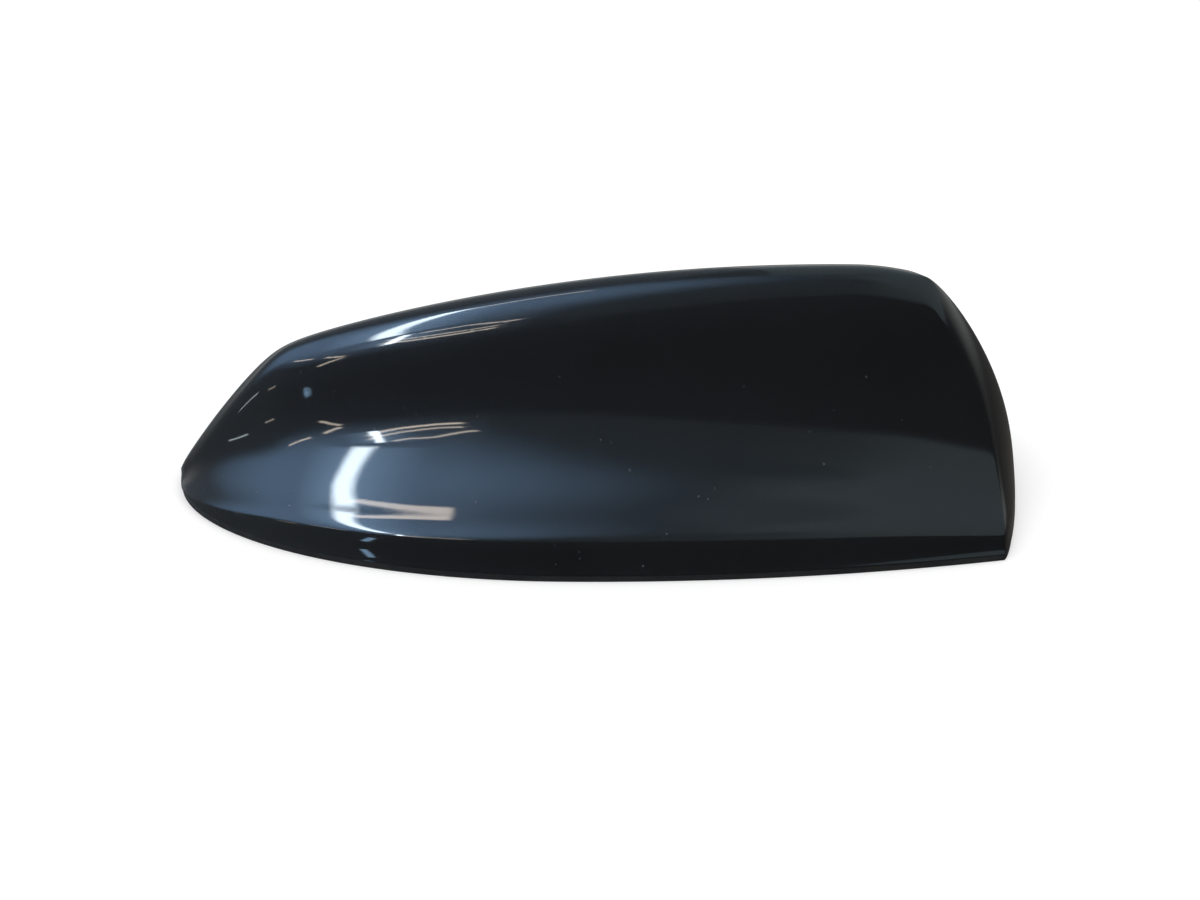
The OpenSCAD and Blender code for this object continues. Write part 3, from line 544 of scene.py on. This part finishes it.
# %% Node helpers
class Recipe:
    """A material under construction, with one Principled shader and helpers that add texture nodes."""

    def __init__(self, slot, colour, roughness, metallic=0.0):
        self.material = bpy.data.materials.new(slot)
        self.material.use_nodes = True
        self.tree = self.material.node_tree
        self.shader = self.tree.nodes["Principled BSDF"]
        self.place = self.tree.nodes.new("ShaderNodeTexCoord").outputs["Object"]
        self.set("Base Color", (*colour, 1))
        self.set("Roughness", roughness)
        self.set("Metallic", metallic)
        self.colour = colour
        self.normal = None

    def set(self, socket, value):
        self.shader.inputs[socket].default_value = value

    def link(self, source, target):
        self.tree.links.new(source, target)
        return source

    def feed(self, source, socket):
        self.link(source, self.shader.inputs[socket])

    def stretched(self, factors):
        node = self.tree.nodes.new("ShaderNodeMapping")
        node.inputs["Scale"].default_value = factors
        self.link(self.place, node.inputs["Vector"])
        return node.outputs["Vector"]

    def noise(self, size_mm, detail=3.0, stretch=(1, 1, 1)):
        """Smooth noise whose grains are about size_mm across."""
        node = self.tree.nodes.new("ShaderNodeTexNoise")
        node.inputs["Scale"].default_value = 1 / (size_mm * MM)
        node.inputs["Detail"].default_value = detail
        node.inputs["Roughness"].default_value = 0.55
        self.link(self.stretched(stretch), node.inputs["Vector"])
        return node.outputs["Fac"]

    def cells(self, size_mm):
        """The distance to the nearest of scattered points about size_mm apart."""
        node = self.tree.nodes.new("ShaderNodeTexVoronoi")
        node.inputs["Scale"].default_value = 1 / (size_mm * MM)
        self.link(self.place, node.inputs["Vector"])
        return node.outputs["Distance"]

    def waves(self, size_mm, direction="X", distortion=0.0):
        node = self.tree.nodes.new("ShaderNodeTexWave")
        node.bands_direction = direction
        node.inputs["Scale"].default_value = 0.314 / (size_mm * MM)
        node.inputs["Distortion"].default_value = distortion
        self.link(self.place, node.inputs["Vector"])
        return node.outputs["Fac"]

    def ramp(self, source, low, high, to_low=0.0, to_high=1.0):
        """Maps low..high of a texture to to_low..to_high, with smooth ends."""
        node = self.tree.nodes.new("ShaderNodeMapRange")
        node.interpolation_type = "SMOOTHSTEP"
        for name, value in zip(("From Min", "From Max", "To Min", "To Max"), (low, high, to_low, to_high)):
            node.inputs[name].default_value = value
        self.link(source, node.inputs["Value"])
        return node.outputs["Result"]

    def math(self, operation, a, b):
        node = self.tree.nodes.new("ShaderNodeMath")
        node.operation = operation
        for socket, value in zip(node.inputs, (a, b)):
            if isinstance(value, (int, float)):
                socket.default_value = value
            else:
                self.link(value, socket)
        return node.outputs["Value"]

    def mix(self, share, a, b):
        """A colour between a and b."""
        node = self.tree.nodes.new("ShaderNodeMix")
        node.data_type = "RGBA"
        self.link(share, node.inputs["Factor"])
        for socket, value in ((node.inputs[6], a), (node.inputs[7], b)):
            if isinstance(value, tuple):
                socket.default_value = (*value, 1)
            else:
                self.link(value, socket)
        return node.outputs[2]

    def bump(self, source, height_mm):
        """Adds relief of a height to the relief that is there already."""
        node = self.tree.nodes.new("ShaderNodeBump")
        node.inputs["Distance"].default_value = height_mm * MM
        node.inputs["Strength"].default_value = 1.0
        self.link(source, node.inputs["Height"])
        if self.normal is not None:
            self.link(self.normal, node.inputs["Normal"])
        self.normal = node.outputs["Normal"]
        self.feed(self.normal, "Normal")

    def mottle(self, source, spread):
        """Varies the base colour from darker to lighter by a share."""
        dark, light = (tuple(min(1, c * f) for c in self.colour) for f in (1 - spread, 1 + spread))
        mixed = self.mix(source, dark, light)
        self.feed(mixed, "Base Color")
        return mixed


# %% [markdown]
# ## Gloss black lacquer
# The cover is moulded plastic under black paint and clear lacquer. Clear lacquer gives the sharp
# reflections, and the paint below gives the wide soft haze round a lamp. So the shader has a coat with a
# very low roughness over a base with a high one. A faint orange peel, scattered dust and hair-fine wipe
# marks keep it from looking like glass.

# %% The lacquer
PAINT_BLACK, DUST_GREY = (0.003, 0.003, 0.0032), (0.06, 0.063, 0.068)
PEEL_MM, WIPE_MM, SPECK_MM, DUSTY_PATCH_MM = 2.4, 0.5, 2.6, 5.5
PEEL_HEIGHT, WIPE_HEIGHT, SPECK_HEIGHT = 0.0022, 0.0004, 0.012


def lacquer():
    """Clear coat over black paint, with orange peel, wipe marks and a few specks of dust."""
    r = Recipe("cover_paint", PAINT_BLACK, 0.5)
    tone = r.mottle(r.ramp(r.noise(38, 2), 0.35, 0.65), 0.1)
    wipe = r.ramp(r.noise(WIPE_MM, 2, (0.05, 1, 1)), 0.62, 0.72)
    specks = r.ramp(r.cells(SPECK_MM), 0.05, 0.09, 1, 0)
    chosen = r.ramp(r.noise(DUSTY_PATCH_MM, 1), 0.56, 0.62)
    dust = r.math("MULTIPLY", specks, chosen)
    r.feed(r.mix(dust, tone, DUST_GREY), "Base Color")
    base_rough = r.ramp(r.noise(14, 3), 0.3, 0.7, 0.48, 0.58)
    r.feed(r.math("ADD", base_rough, r.math("MULTIPLY", dust, 0.3)), "Roughness")
    r.set("Specular IOR Level", 0.14)
    r.set("Specular Tint", (0.72, 0.86, 1, 1))
    r.set("Coat Weight", 1.0)
    r.set("Coat Roughness", 0.035)
    r.set("Coat IOR", 1.5)
    r.bump(r.noise(PEEL_MM, 1), PEEL_HEIGHT)
    r.bump(wipe, WIPE_HEIGHT)
    r.bump(dust, SPECK_HEIGHT)
    r.link(r.normal, r.shader.inputs["Coat Normal"])
    return r.material


# %% [markdown]
# ## Rubber, cast alloy and plated metal
# Rubber is matt and slightly mottled, with a bloom of grey. Cast alloy has a grainy skin with flow marks.
# Plated steel is smoother, and its colour drifts a little where the plating is thicker.

# %% Rubber and foam
def rubber(slot, level, grain_mm):
    r = Recipe(slot, (level, level, level * 1.05), 0.68)
    r.mottle(r.ramp(r.noise(9, 3), 0.3, 0.7), 0.22)
    r.feed(r.ramp(r.noise(3, 2), 0.3, 0.7, 0.58, 0.78), "Roughness")
    r.bump(r.noise(grain_mm, 3), 0.03)
    return r.material


def foam():
    r = Recipe("foam", (0.09, 0.09, 0.09), 0.95)
    pores = r.ramp(r.cells(0.7), 0.15, 0.5)
    r.mottle(pores, 0.45)
    r.bump(pores, 0.18)
    return r.material


# %% Metals
def cast_alloy():
    r = Recipe("cast_alloy", (0.55, 0.56, 0.57), 0.45, 1.0)
    r.mottle(r.ramp(r.noise(16, 4, (1, 2.2, 1)), 0.3, 0.7), 0.12)
    r.feed(r.ramp(r.noise(2.5, 3), 0.3, 0.7, 0.36, 0.58), "Roughness")
    r.bump(r.noise(0.45, 3), 0.03)
    r.bump(r.ramp(r.cells(1.3), 0.1, 0.45), 0.015)
    return r.material


def metal(slot, colour, rough, drift, grain_mm, stretch=(1, 1, 1), height=0.004):
    """Plated or rolled sheet: a drift in colour and roughness, and a fine grain that may run one way."""
    r = Recipe(slot, colour, rough, 1.0)
    r.mottle(r.ramp(r.noise(6, 3), 0.3, 0.7), drift)
    r.feed(r.ramp(r.noise(1.8, 3, stretch), 0.3, 0.7, rough * 0.8, rough * 1.3), "Roughness")
    r.bump(r.noise(grain_mm, 2, stretch), height)
    return r.material


# %% [markdown]
# ## Plastics, ceramic, laminate and cloth
# The hidden pieces get plain but complete finishes. Moulded plastic has the fine pitted skin of a
# spark-eroded tool. The board shows copper traces as slightly raised, lighter lines under green solder
# resist.

# %% Plastics and ceramic
def plastic(slot, colour, rough=0.5, pit_mm=0.25, height=0.008):
    r = Recipe(slot, colour, rough)
    r.mottle(r.ramp(r.noise(7, 2), 0.3, 0.7), 0.12)
    r.feed(r.ramp(r.noise(1.5, 3), 0.3, 0.7, rough * 0.85, rough * 1.2), "Roughness")
    r.bump(r.noise(pit_mm, 3), height)
    return r.material


def ceramic():
    r = Recipe("patch_ceramic", (0.62, 0.55, 0.42), 0.6)
    flecks = r.ramp(r.cells(0.6), 0.08, 0.2, 1, 0)
    tone = r.mottle(r.ramp(r.noise(3, 4), 0.3, 0.7), 0.1)
    r.feed(r.mix(r.math("MULTIPLY", flecks, 0.5), tone, (0.3, 0.25, 0.18)), "Base Color")
    r.bump(r.noise(0.3, 4), 0.02)
    return r.material


# %% Board and cloth
def laminate():
    r = Recipe("board_laminate", (0.02, 0.16, 0.07), 0.32)
    resist, raised = (0.014, 0.12, 0.05), (0.035, 0.23, 0.09)
    trace_x = r.ramp(r.waves(1.6, "X", 1.5), 0.82, 0.9)
    trace_y = r.ramp(r.waves(2.1, "Y", 1.5), 0.82, 0.9)
    area = r.ramp(r.noise(8, 1), 0.48, 0.52)
    along_x = r.math("MULTIPLY", trace_x, area)
    along_y = r.math("MULTIPLY", trace_y, r.math("SUBTRACT", 1, area))
    traces = r.math("MAXIMUM", along_x, along_y)
    r.feed(r.mix(traces, resist, raised), "Base Color")
    r.set("Coat Weight", 0.4)
    r.set("Coat Roughness", 0.12)
    r.bump(traces, 0.03)
    r.bump(r.noise(0.8, 2), 0.006)
    return r.material


def vent_cloth():
    r = Recipe("vent_cloth", (0.85, 0.85, 0.83), 0.9)
    weave = r.math("MULTIPLY", r.waves(0.35, "X"), r.waves(0.35, "Y"))
    r.mottle(weave, 0.1)
    r.bump(weave, 0.04)
    r.set("Sheen Weight", 0.3)
    return r.material


# %% [markdown]
# ## Dressing the pieces
# The remade pieces ride on the one body and stand for their solids. Every other solid keeps its mesh, and
# gets its finish in its material slots; the listed ones also get a narrow bevel that catches the light as a real
# edge does.

# %% Finishes by slot
FINISHES = {
    "cover_paint": lacquer(),
    "gasket_rubber": rubber("gasket_rubber", 0.012, 0.5),
    "seal_rubber": rubber("seal_rubber", 0.022, 0.3),
    "foam": foam(),
    "cast_alloy": cast_alloy(),
    "zinc_plate": metal("zinc_plate", (0.62, 0.62, 0.6), 0.3, 0.1, 0.3),
    "silver_print": metal("silver_print", (0.78, 0.78, 0.76), 0.42, 0.05, 0.15, height=0.006),
    "gold_plate": metal("gold_plate", (0.83, 0.68, 0.32), 0.22, 0.06, 0.4),
    "tin_plate": metal("tin_plate", (0.68, 0.69, 0.7), 0.28, 0.07, 0.25, (0.15, 1, 1)),
    "element_sheet": metal("element_sheet", (0.72, 0.62, 0.4), 0.3, 0.08, 0.2, (0.1, 1, 1)),
    "copper_wire": metal("copper_wire", (0.7, 0.32, 0.15), 0.25, 0.1, 0.5),
    "patch_ceramic": ceramic(),
    "pad_tape": plastic("pad_tape", (0.8, 0.78, 0.7), 0.75, 0.5, 0.02),
    "carrier_plastic": plastic("carrier_plastic", (0.05, 0.05, 0.055)),
    "socket_black": plastic("socket_black", (0.03, 0.03, 0.032)),
    "socket_blue": plastic("socket_blue", (0.03, 0.09, 0.3)),
    "socket_purple": plastic("socket_purple", (0.2, 0.04, 0.16)),
    "insulator": plastic("insulator", (0.86, 0.86, 0.84), 0.35, 0.6, 0.004),
    "board_laminate": laminate(),
    "vent_cloth": vent_cloth(),
}

print("finishes:", len(FINISHES))

# %% Remade pieces
REMADE = [(cover, "cover", "cover_paint"), (gasket_piece, "roof_gasket", "gasket_rubber"),
          (stud_piece, "roof_stud", "zinc_plate"), (coil_piece, "broadcast_coil", "copper_wire")]
for piece, node, slot in REMADE:
    piece.data.materials.clear()
    piece.data.materials.append(FINISHES[slot])
    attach(piece, "root")
    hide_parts(node)

# %% Solids that keep their mesh
remade_nodes = {node for _, node, _ in REMADE}
slot_of = {part["node"]: part["material_slot"] for part in frame["record"]["subparts"]}
BEVEL_NODES = ("base_plate", "shield_can", "element_carrier", "main_board", "patch_ceramic",
               "coax_socket_1", "coax_socket_2", "coax_socket_3", "board_screws", "cover_screws")
BEVEL_W, WELD_DISTANCE, BEVEL_FROM = 0.12 * MM, 0.01 * MM, 50
for name, solid in nodes.items():
    if name in remade_nodes:
        continue
    solid.data.materials.clear()
    solid.data.materials.append(FINISHES[slot_of[name]])
    if name in BEVEL_NODES:
        weld = solid.modifiers.new("weld", "WELD")
        weld.merge_threshold = WELD_DISTANCE
        bevel = solid.modifiers.new("edge", "BEVEL")
        bevel.width, bevel.segments, bevel.limit_method = BEVEL_W, 2, "ANGLE"
        bevel.angle_limit = math.radians(BEVEL_FROM)
print("dressed:", len(nodes) - len(remade_nodes), "solids and", len(REMADE), "remade pieces")

# %% [markdown]
# ## The floor
# A plain pale floor carries the shadow. The stud, pegs and sockets reach below the roof's surface, so the
# floor has a hole under the gasket for them, hidden from every side. Seen by the camera the floor is lifted
# to white, and only the shadow darkens it.

# %% Floor with a hole under the gasket
FLOOR_R, FLOOR_HOLE_IN, FLOOR_LIFT = 2000, 2.5, 0.3


def floor_piece():
    """A wide disc with the plan of the fin, moved inwards, cut out of it."""
    inner = plan_loop(FLOOR_HOLE_IN, FLOOR_HOLE_IN, 0)
    outer = inner.copy()
    outwards = inner[:, :2] / np.linalg.norm(inner[:, :2], axis=1, keepdims=True)
    outer[:, :2] = outwards * FLOOR_R
    n = len(inner)
    i = np.arange(n)
    j = (i + 1) % n
    faces = np.stack([i, j, n + j, n + i], -1)
    piece = new_piece("floor", np.concatenate([inner, outer]), faces)
    if piece.data.polygons[0].normal.z < 0:
        piece.data.flip_normals()
    return piece


def floor_material():
    material = bpy.data.materials.new("pale_floor")
    material.use_nodes = True
    tree = material.node_tree
    shader = tree.nodes["Principled BSDF"]
    path = tree.nodes.new("ShaderNodeLightPath")
    shader.inputs["Base Color"].default_value = (0.8, 0.8, 0.8, 1)
    shader.inputs["Roughness"].default_value = 0.9
    shader.inputs["Specular IOR Level"].default_value = 0.0
    shader.inputs["Emission Color"].default_value = (1, 1, 1, 1)
    lift = tree.nodes.new("ShaderNodeMath")
    lift.operation = "MULTIPLY"
    lift.inputs[1].default_value = FLOOR_LIFT
    tree.links.new(path.outputs["Is Camera Ray"], lift.inputs[0])
    tree.links.new(lift.outputs["Value"], shader.inputs["Emission Strength"])
    return material


floor = floor_piece()
floor.data.materials.append(floor_material())
floor.visible_glossy = False

# %% [markdown]
# ## What the lacquer reflects
# Gloss black is mostly a picture of its surroundings. The real one stood on a dark bench in a room with a pale
# grey ceiling, lamp tubes and one bright lamp ahead of its nose. A photograph of such a room isn't used. Instead
# a large tent, seen by glossy rays alone, is dark up to the ceiling's edge, pale behind the part and grey-blue
# above it, and the lamps are strips laid on the inside of the same tent. They follow the part in every view,
# because they belong to the room.

# %% The tent
TENT_R = 2500.0


def direction(azimuth, elevation):
    """Azimuth 0 points to the camera's side and grows towards the tail."""
    a, e = math.radians(azimuth), math.radians(elevation)
    return np.array([math.sin(a) * math.cos(e), -math.cos(a) * math.cos(e), math.sin(e)])


def only_glossy(piece):
    """Stage that shows in reflections, and neither to the camera nor as light or shadow on the part."""
    piece.visible_camera = False
    piece.visible_diffuse = False
    piece.visible_transmission = False
    piece.visible_volume_scatter = False
    piece.visible_shadow = False


class Glow(Recipe):
    """A material that only shines, with helpers that read its place as a direction."""

    def __init__(self, name):
        super().__init__(name, (0, 0, 0), 1.0)
        self.set("Specular IOR Level", 0.0)
        self.material.cycles.emission_sampling = "NONE"

    def angles(self):
        split = self.tree.nodes.new("ShaderNodeSeparateXYZ")
        self.link(self.place, split.inputs["Vector"])
        x, y, z = split.outputs
        azimuth = self.math("DEGREES", self.math("ARCTAN2", x, self.math("MULTIPLY", y, -1)), 0)
        elevation = self.math("DEGREES", self.math("ARCSINE", self.math("DIVIDE", z, TENT_R * MM), 0), 0)
        return azimuth, elevation

    def near(self, azimuth, elevation, inner, outer):
        """1 within inner degrees of a direction, falling to 0 at outer degrees."""
        dot = self.tree.nodes.new("ShaderNodeVectorMath")
        dot.operation = "DOT_PRODUCT"
        self.link(self.place, dot.inputs[0])
        dot.inputs[1].default_value = direction(azimuth, elevation) / (TENT_R * MM)
        return self.ramp(dot.outputs["Value"], math.cos(math.radians(outer)), math.cos(math.radians(inner)))

    def beyond(self, normal, low, high):
        """0 on one side of a straight edge overhead and 1 on the other."""
        dot = self.tree.nodes.new("ShaderNodeVectorMath")
        dot.operation = "DOT_PRODUCT"
        self.link(self.place, dot.inputs[0])
        dot.inputs[1].default_value = np.array(normal) / (TENT_R * MM)
        return self.ramp(dot.outputs["Value"], low, high)

    def over_what_is_behind(self):
        """Adds the glow to whatever lies behind it."""
        clear = self.tree.nodes.new("ShaderNodeBsdfTransparent")
        both = self.tree.nodes.new("ShaderNodeAddShader")
        self.link(self.shader.outputs["BSDF"], both.inputs[0])
        self.link(clear.outputs["BSDF"], both.inputs[1])
        self.link(both.outputs["Shader"], self.tree.nodes["Material Output"].inputs["Surface"])

    def shine(self, colour, strength=1.0):
        if isinstance(colour, tuple):
            self.set("Emission Color", (*colour, 1))
        else:
            self.feed(colour, "Emission Color")
        if isinstance(strength, float):
            self.set("Emission Strength", strength)
        else:
            self.feed(strength, "Emission Strength")
        return self.material


# %% The room on the tent
BENCH, BENCH_BY_NOSE, BACKDROP = (0.085, 0.08, 0.075), (0.22, 0.24, 0.25), (0.95, 0.97, 0.95)
CEILING_FRONT, CEILING_REAR, CEILING_DARK = (0.2, 0.235, 0.25), (0.48, 0.6, 0.64), (0.1, 0.11, 0.12)
PANEL_LIGHT, LAMP_HAZE = (1.0, 1.2, 1.5), (1.4, 2.3, 3.6)
# Azimuth, elevation, where each patch is full and where it ends, all in degrees, and its share.
DARK_PATCHES = ((14.5, 48, 3, 9, 0.35), (41, 77, 4, 12, 0.4))


def room():
    """Dark bench, pale backdrop behind the part, and a grey-blue ceiling, hazy with lamplight by the nose."""
    r = Glow("room")
    azimuth, elevation = r.angles()
    low = r.mix(r.ramp(azimuth, -60, -10, 1, 0), BENCH, BENCH_BY_NOSE)
    behind = r.math("MULTIPLY", r.ramp(r.math("ABSOLUTE", azimuth, 0), 85, 125), r.ramp(elevation, -8, 8))
    low = r.mix(behind, low, BACKDROP)
    edge = r.math("ADD", r.ramp(azimuth, -98, -50, 10, 26), r.ramp(azimuth, 0, 26, 0, -6))
    softness = r.ramp(azimuth, -50, 10, 6, 2)
    ceiling_share = r.ramp(r.math("DIVIDE", r.math("SUBTRACT", elevation, edge), softness), -1, 1)
    ceiling = r.mix(r.ramp(azimuth, 6, 34), CEILING_FRONT, CEILING_REAR)
    for az, el, inner, outer, share in DARK_PATCHES:
        ceiling = r.mix(r.math("MULTIPLY", r.near(az, el, inner, outer), share), ceiling, CEILING_DARK)
    panel = r.math("MULTIPLY", r.beyond((-1, 0.16, -0.185), -0.015, 0.015), 0.14)
    ceiling = r.mix(panel, ceiling, PANEL_LIGHT)
    ceiling = r.mix(r.math("MULTIPLY", r.near(-66, 48, 4, 44), 0.9), ceiling, LAMP_HAZE)
    return r.shine(r.mix(ceiling_share, low, ceiling))


def tent():
    """A globe round the whole scene, closed by a tiny cap at each pole."""
    elevations = np.concatenate([np.linspace(-90, 0, 10), np.linspace(4, 90, 44)])
    elevations = [math.copysign(min(abs(e), 89.9), e) for e in elevations]
    loops = [[TENT_R * direction(a, e) for a in range(0, 360, 4)] for e in elevations]
    piece = loft("tent", loops)
    piece.data.materials.append(room())
    only_glossy(piece)


tent()

# %% Lamps on the tent
COOL, WARM, HAZE = (0.82, 0.93, 1.0), (1.0, 0.86, 0.72), (0.42, 0.68, 1.0)
ARC = [(-98, 66.5), (-88.7, 65.8), (-76.5, 63.8), (-63.7, 60.2), (-50, 53.4), (-40.7, 45.7),
       (-35.1, 39.5), (-32.3, 36.1)]
ARC_END = [(-28.4, 29.5), (-28.7, 31.3), (-29.3, 33.8), (-30, 36)]
FAR_TUBE = [(-87, 66.4), (-89, 69.6), (-90, 72.4), (-89, 74.8), (-87, 77.1)]
RIDGE_TUBE = [(-28.5, 35.7), (-25.7, 35.1), (-22.7, 35.2), (-19, 33.6), (-16.5, 33)]
UPPER_TUBE = [(-30.5, 32), (-27, 30.2), (-23.7, 29.5), (-20.1, 29.2), (-17.2, 29.4)]
LOWER_TUBE = [(-31.4, 34), (-27.7, 32.2), (-24.3, 31.4), (-20.6, 31), (-17.5, 31.2)]
# Name, colour, strength, half width in degrees, share of it that is even, and path in degrees.
LAMPS = [
    ("lamp_main", COOL, 24, 2.0, 0.25, ARC),
    ("lamp_main_haze", HAZE, 3.0, 9, 0.0, ARC),
    ("lamp_ridge", COOL, 30, 0.8, 0.3, ARC_END),
    ("lamp_ridge_haze", HAZE, 2.5, 5, 0.0, ARC_END),
    ("tube_ridge", WARM, 9, 0.5, 0.3, RIDGE_TUBE),
    ("tube_upper", WARM, 11, 0.6, 0.3, UPPER_TUBE),
    ("tube_lower", WARM, 9, 0.5, 0.3, LOWER_TUBE),
    ("tube_far", WARM, 10, 1.6, 0.3, FAR_TUBE),
    ("dash_1", WARM, 10, 0.6, 0.3, [(-47.7, 27.8), (-41.7, 27.7), (-37.8, 27.4)]),
    ("dash_2", WARM, 10, 0.6, 0.3, [(-35.1, 27.1), (-32.8, 26), (-31, 25.3)]),
    ("dash_3", WARM, 9, 0.6, 0.3, [(-32.5, 19.8), (-31.8, 22.1), (-30.7, 24.6)]),
    ("dash_4", COOL, 7, 0.7, 0.3, [(-70.6, 4.9), (-66.9, 6.9), (-62.4, 8.5)]),
    ("dash_5", WARM, 5, 0.6, 0.3, [(-52.8, 8.5), (-46.2, 10.1)]),
    ("dash_6", HAZE, 7, 1.0, 0.3, [(-31, 1), (-30.3, 5), (-29.8, 9)]),
]


def smooth_path(path, steps=10):
    """A rounded line through the points of a path, as unit vectors."""
    points = np.array([direction(*p) for p in path])
    ends = np.vstack([2 * points[0] - points[1], points, 2 * points[-1] - points[-2]])
    line = []
    for p0, p1, p2, p3 in zip(ends, ends[1:], ends[2:], ends[3:]):
        for t in np.linspace(0, 1, steps, endpoint=False):
            line.append(0.5 * (2 * p1 + (p2 - p0) * t + (2 * p0 - 5 * p1 + 4 * p2 - p3) * t ** 2
                               + (3 * p1 - p0 - 3 * p2 + p3) * t ** 3))
    line.append(points[-1])
    line = np.array(line)
    return line / np.linalg.norm(line, axis=1, keepdims=True)


def lamp_material(name, colour, strength, core):
    """A glow that is even in the core's share of the strip and fades from there to its edges."""
    r = Glow(name)
    across = r.tree.nodes.new("ShaderNodeAttribute")
    across.attribute_name = "across"
    r.over_what_is_behind()
    return r.shine(colour, r.ramp(across.outputs["Fac"], core, 1.0, strength, 0.0))


STRIP_GAP, STRIP_STEP, STRIP_LANES, END_FADE = 60, 4, 9, 0.12


def strip(name, colour, strength, half_width, core, path):
    """A glowing band on the tent, half_width degrees to each side of its path, that fades at its edges."""
    centres = smooth_path(path)
    along_path = np.gradient(centres, axis=0)
    sideways = np.cross(centres, along_path)
    sideways /= np.linalg.norm(sideways, axis=1, keepdims=True)
    reach, radius = math.tan(math.radians(half_width)), TENT_R - STRIP_GAP + STRIP_STEP * half_width
    lanes = np.linspace(-1, 1, STRIP_LANES)
    points = np.array([(centres + sideways * reach * lane) * radius for lane in lanes])
    piece = new_piece(name, points.reshape(-1, 3), quads(len(lanes), len(centres)), weld=0)
    count = len(centres)
    ends = np.minimum(np.arange(count), np.arange(count)[::-1]) / (END_FADE * count)
    away = np.maximum(np.abs(lanes)[:, None], 1 - np.minimum(ends, 1)[None, :])
    attribute = piece.data.attributes.new("across", "FLOAT", "POINT")
    attribute.data.foreach_set("value", away.ravel().astype(np.float32))
    piece.data.materials.append(lamp_material(name, colour, strength, core))
    only_glossy(piece)


for lamp in LAMPS:
    strip(*lamp)
print("lamps on the tent:", len(LAMPS))

# %% [markdown]
# ## World and soft lamps
# The world gives most of the diffuse light, at a level where a colour renders about as it is written.
# Camera, glossy and transmitted rays see it as white. Two large area lamps add direction, so that the floor
# keeps a soft shadow.

# %% World
AMBIENT = 0.75


def world():
    """An even sky at the ambient level, and white to camera, glossy and transmitted rays."""
    w = bpy.data.worlds.new("studio")
    bpy.context.scene.world = w
    w.use_nodes = True
    tree = w.node_tree
    background = tree.nodes["Background"]
    path = tree.nodes.new("ShaderNodeLightPath")
    seen = path.outputs["Is Camera Ray"]
    for name in ("Is Glossy Ray", "Is Transmission Ray"):
        join = tree.nodes.new("ShaderNodeMath")
        join.operation = "MAXIMUM"
        tree.links.new(seen, join.inputs[0])
        tree.links.new(path.outputs[name], join.inputs[1])
        seen = join.outputs["Value"]
    level = tree.nodes.new("ShaderNodeMapRange")
    level.inputs["To Min"].default_value = AMBIENT
    tree.links.new(seen, level.inputs["Value"])
    tree.links.new(level.outputs["Result"], background.inputs["Strength"])
    background.inputs["Color"].default_value = (1, 1, 1, 1)


world()


# %% Area lamps
def area_lamp(name, azimuth, elevation, size, power, distance=1.2):
    """A round lamp, in metres and watts, that points at the part and leaves no image in the gloss."""
    light = bpy.data.lights.new(name, "AREA")
    light.shape, light.size, light.energy = "DISK", size, power
    lamp = bpy.data.objects.new(name, light)
    bpy.context.scene.collection.objects.link(lamp)
    lamp.location = Vector(direction(azimuth, elevation)) * distance
    lamp.rotation_euler = lamp.location.to_track_quat("Z", "Y").to_euler()
    lamp.visible_glossy = False


area_lamp("soft_key", -40, 62, 0.9, 3.2)
area_lamp("soft_fill", 70, 55, 0.9, 2.0)

# %% [markdown]
# ## The camera
# The photograph was taken from the aerial's left side, about half a metre away and a third of a right angle
# above the bench. The near camera shows in the lines: the tail's foot narrows towards the back.

# %% Camera
CAMERA_AT = Vector((3.61, -401.81, 275.51)) * MM
CAMERA_AIM = Vector((-2.66, -6.2, 12.4)) * MM
SENSOR_MM, FOCAL_MM = 36.0, 73.62
lens = bpy.data.cameras.new("camera")
lens.sensor_width, lens.lens = SENSOR_MM, FOCAL_MM
lens.clip_start, lens.clip_end = 0.01, 50
camera = bpy.data.objects.new("camera", lens)
bpy.context.scene.collection.objects.link(camera)
camera.location = CAMERA_AT
camera.rotation_euler = (CAMERA_AIM - CAMERA_AT).to_track_quat("-Z", "Y").to_euler()
bpy.context.scene.camera = camera
bpy.context.scene.view_settings.view_transform = "Standard"
print("camera distance in mm:", round((CAMERA_AT - CAMERA_AIM).length / MM))
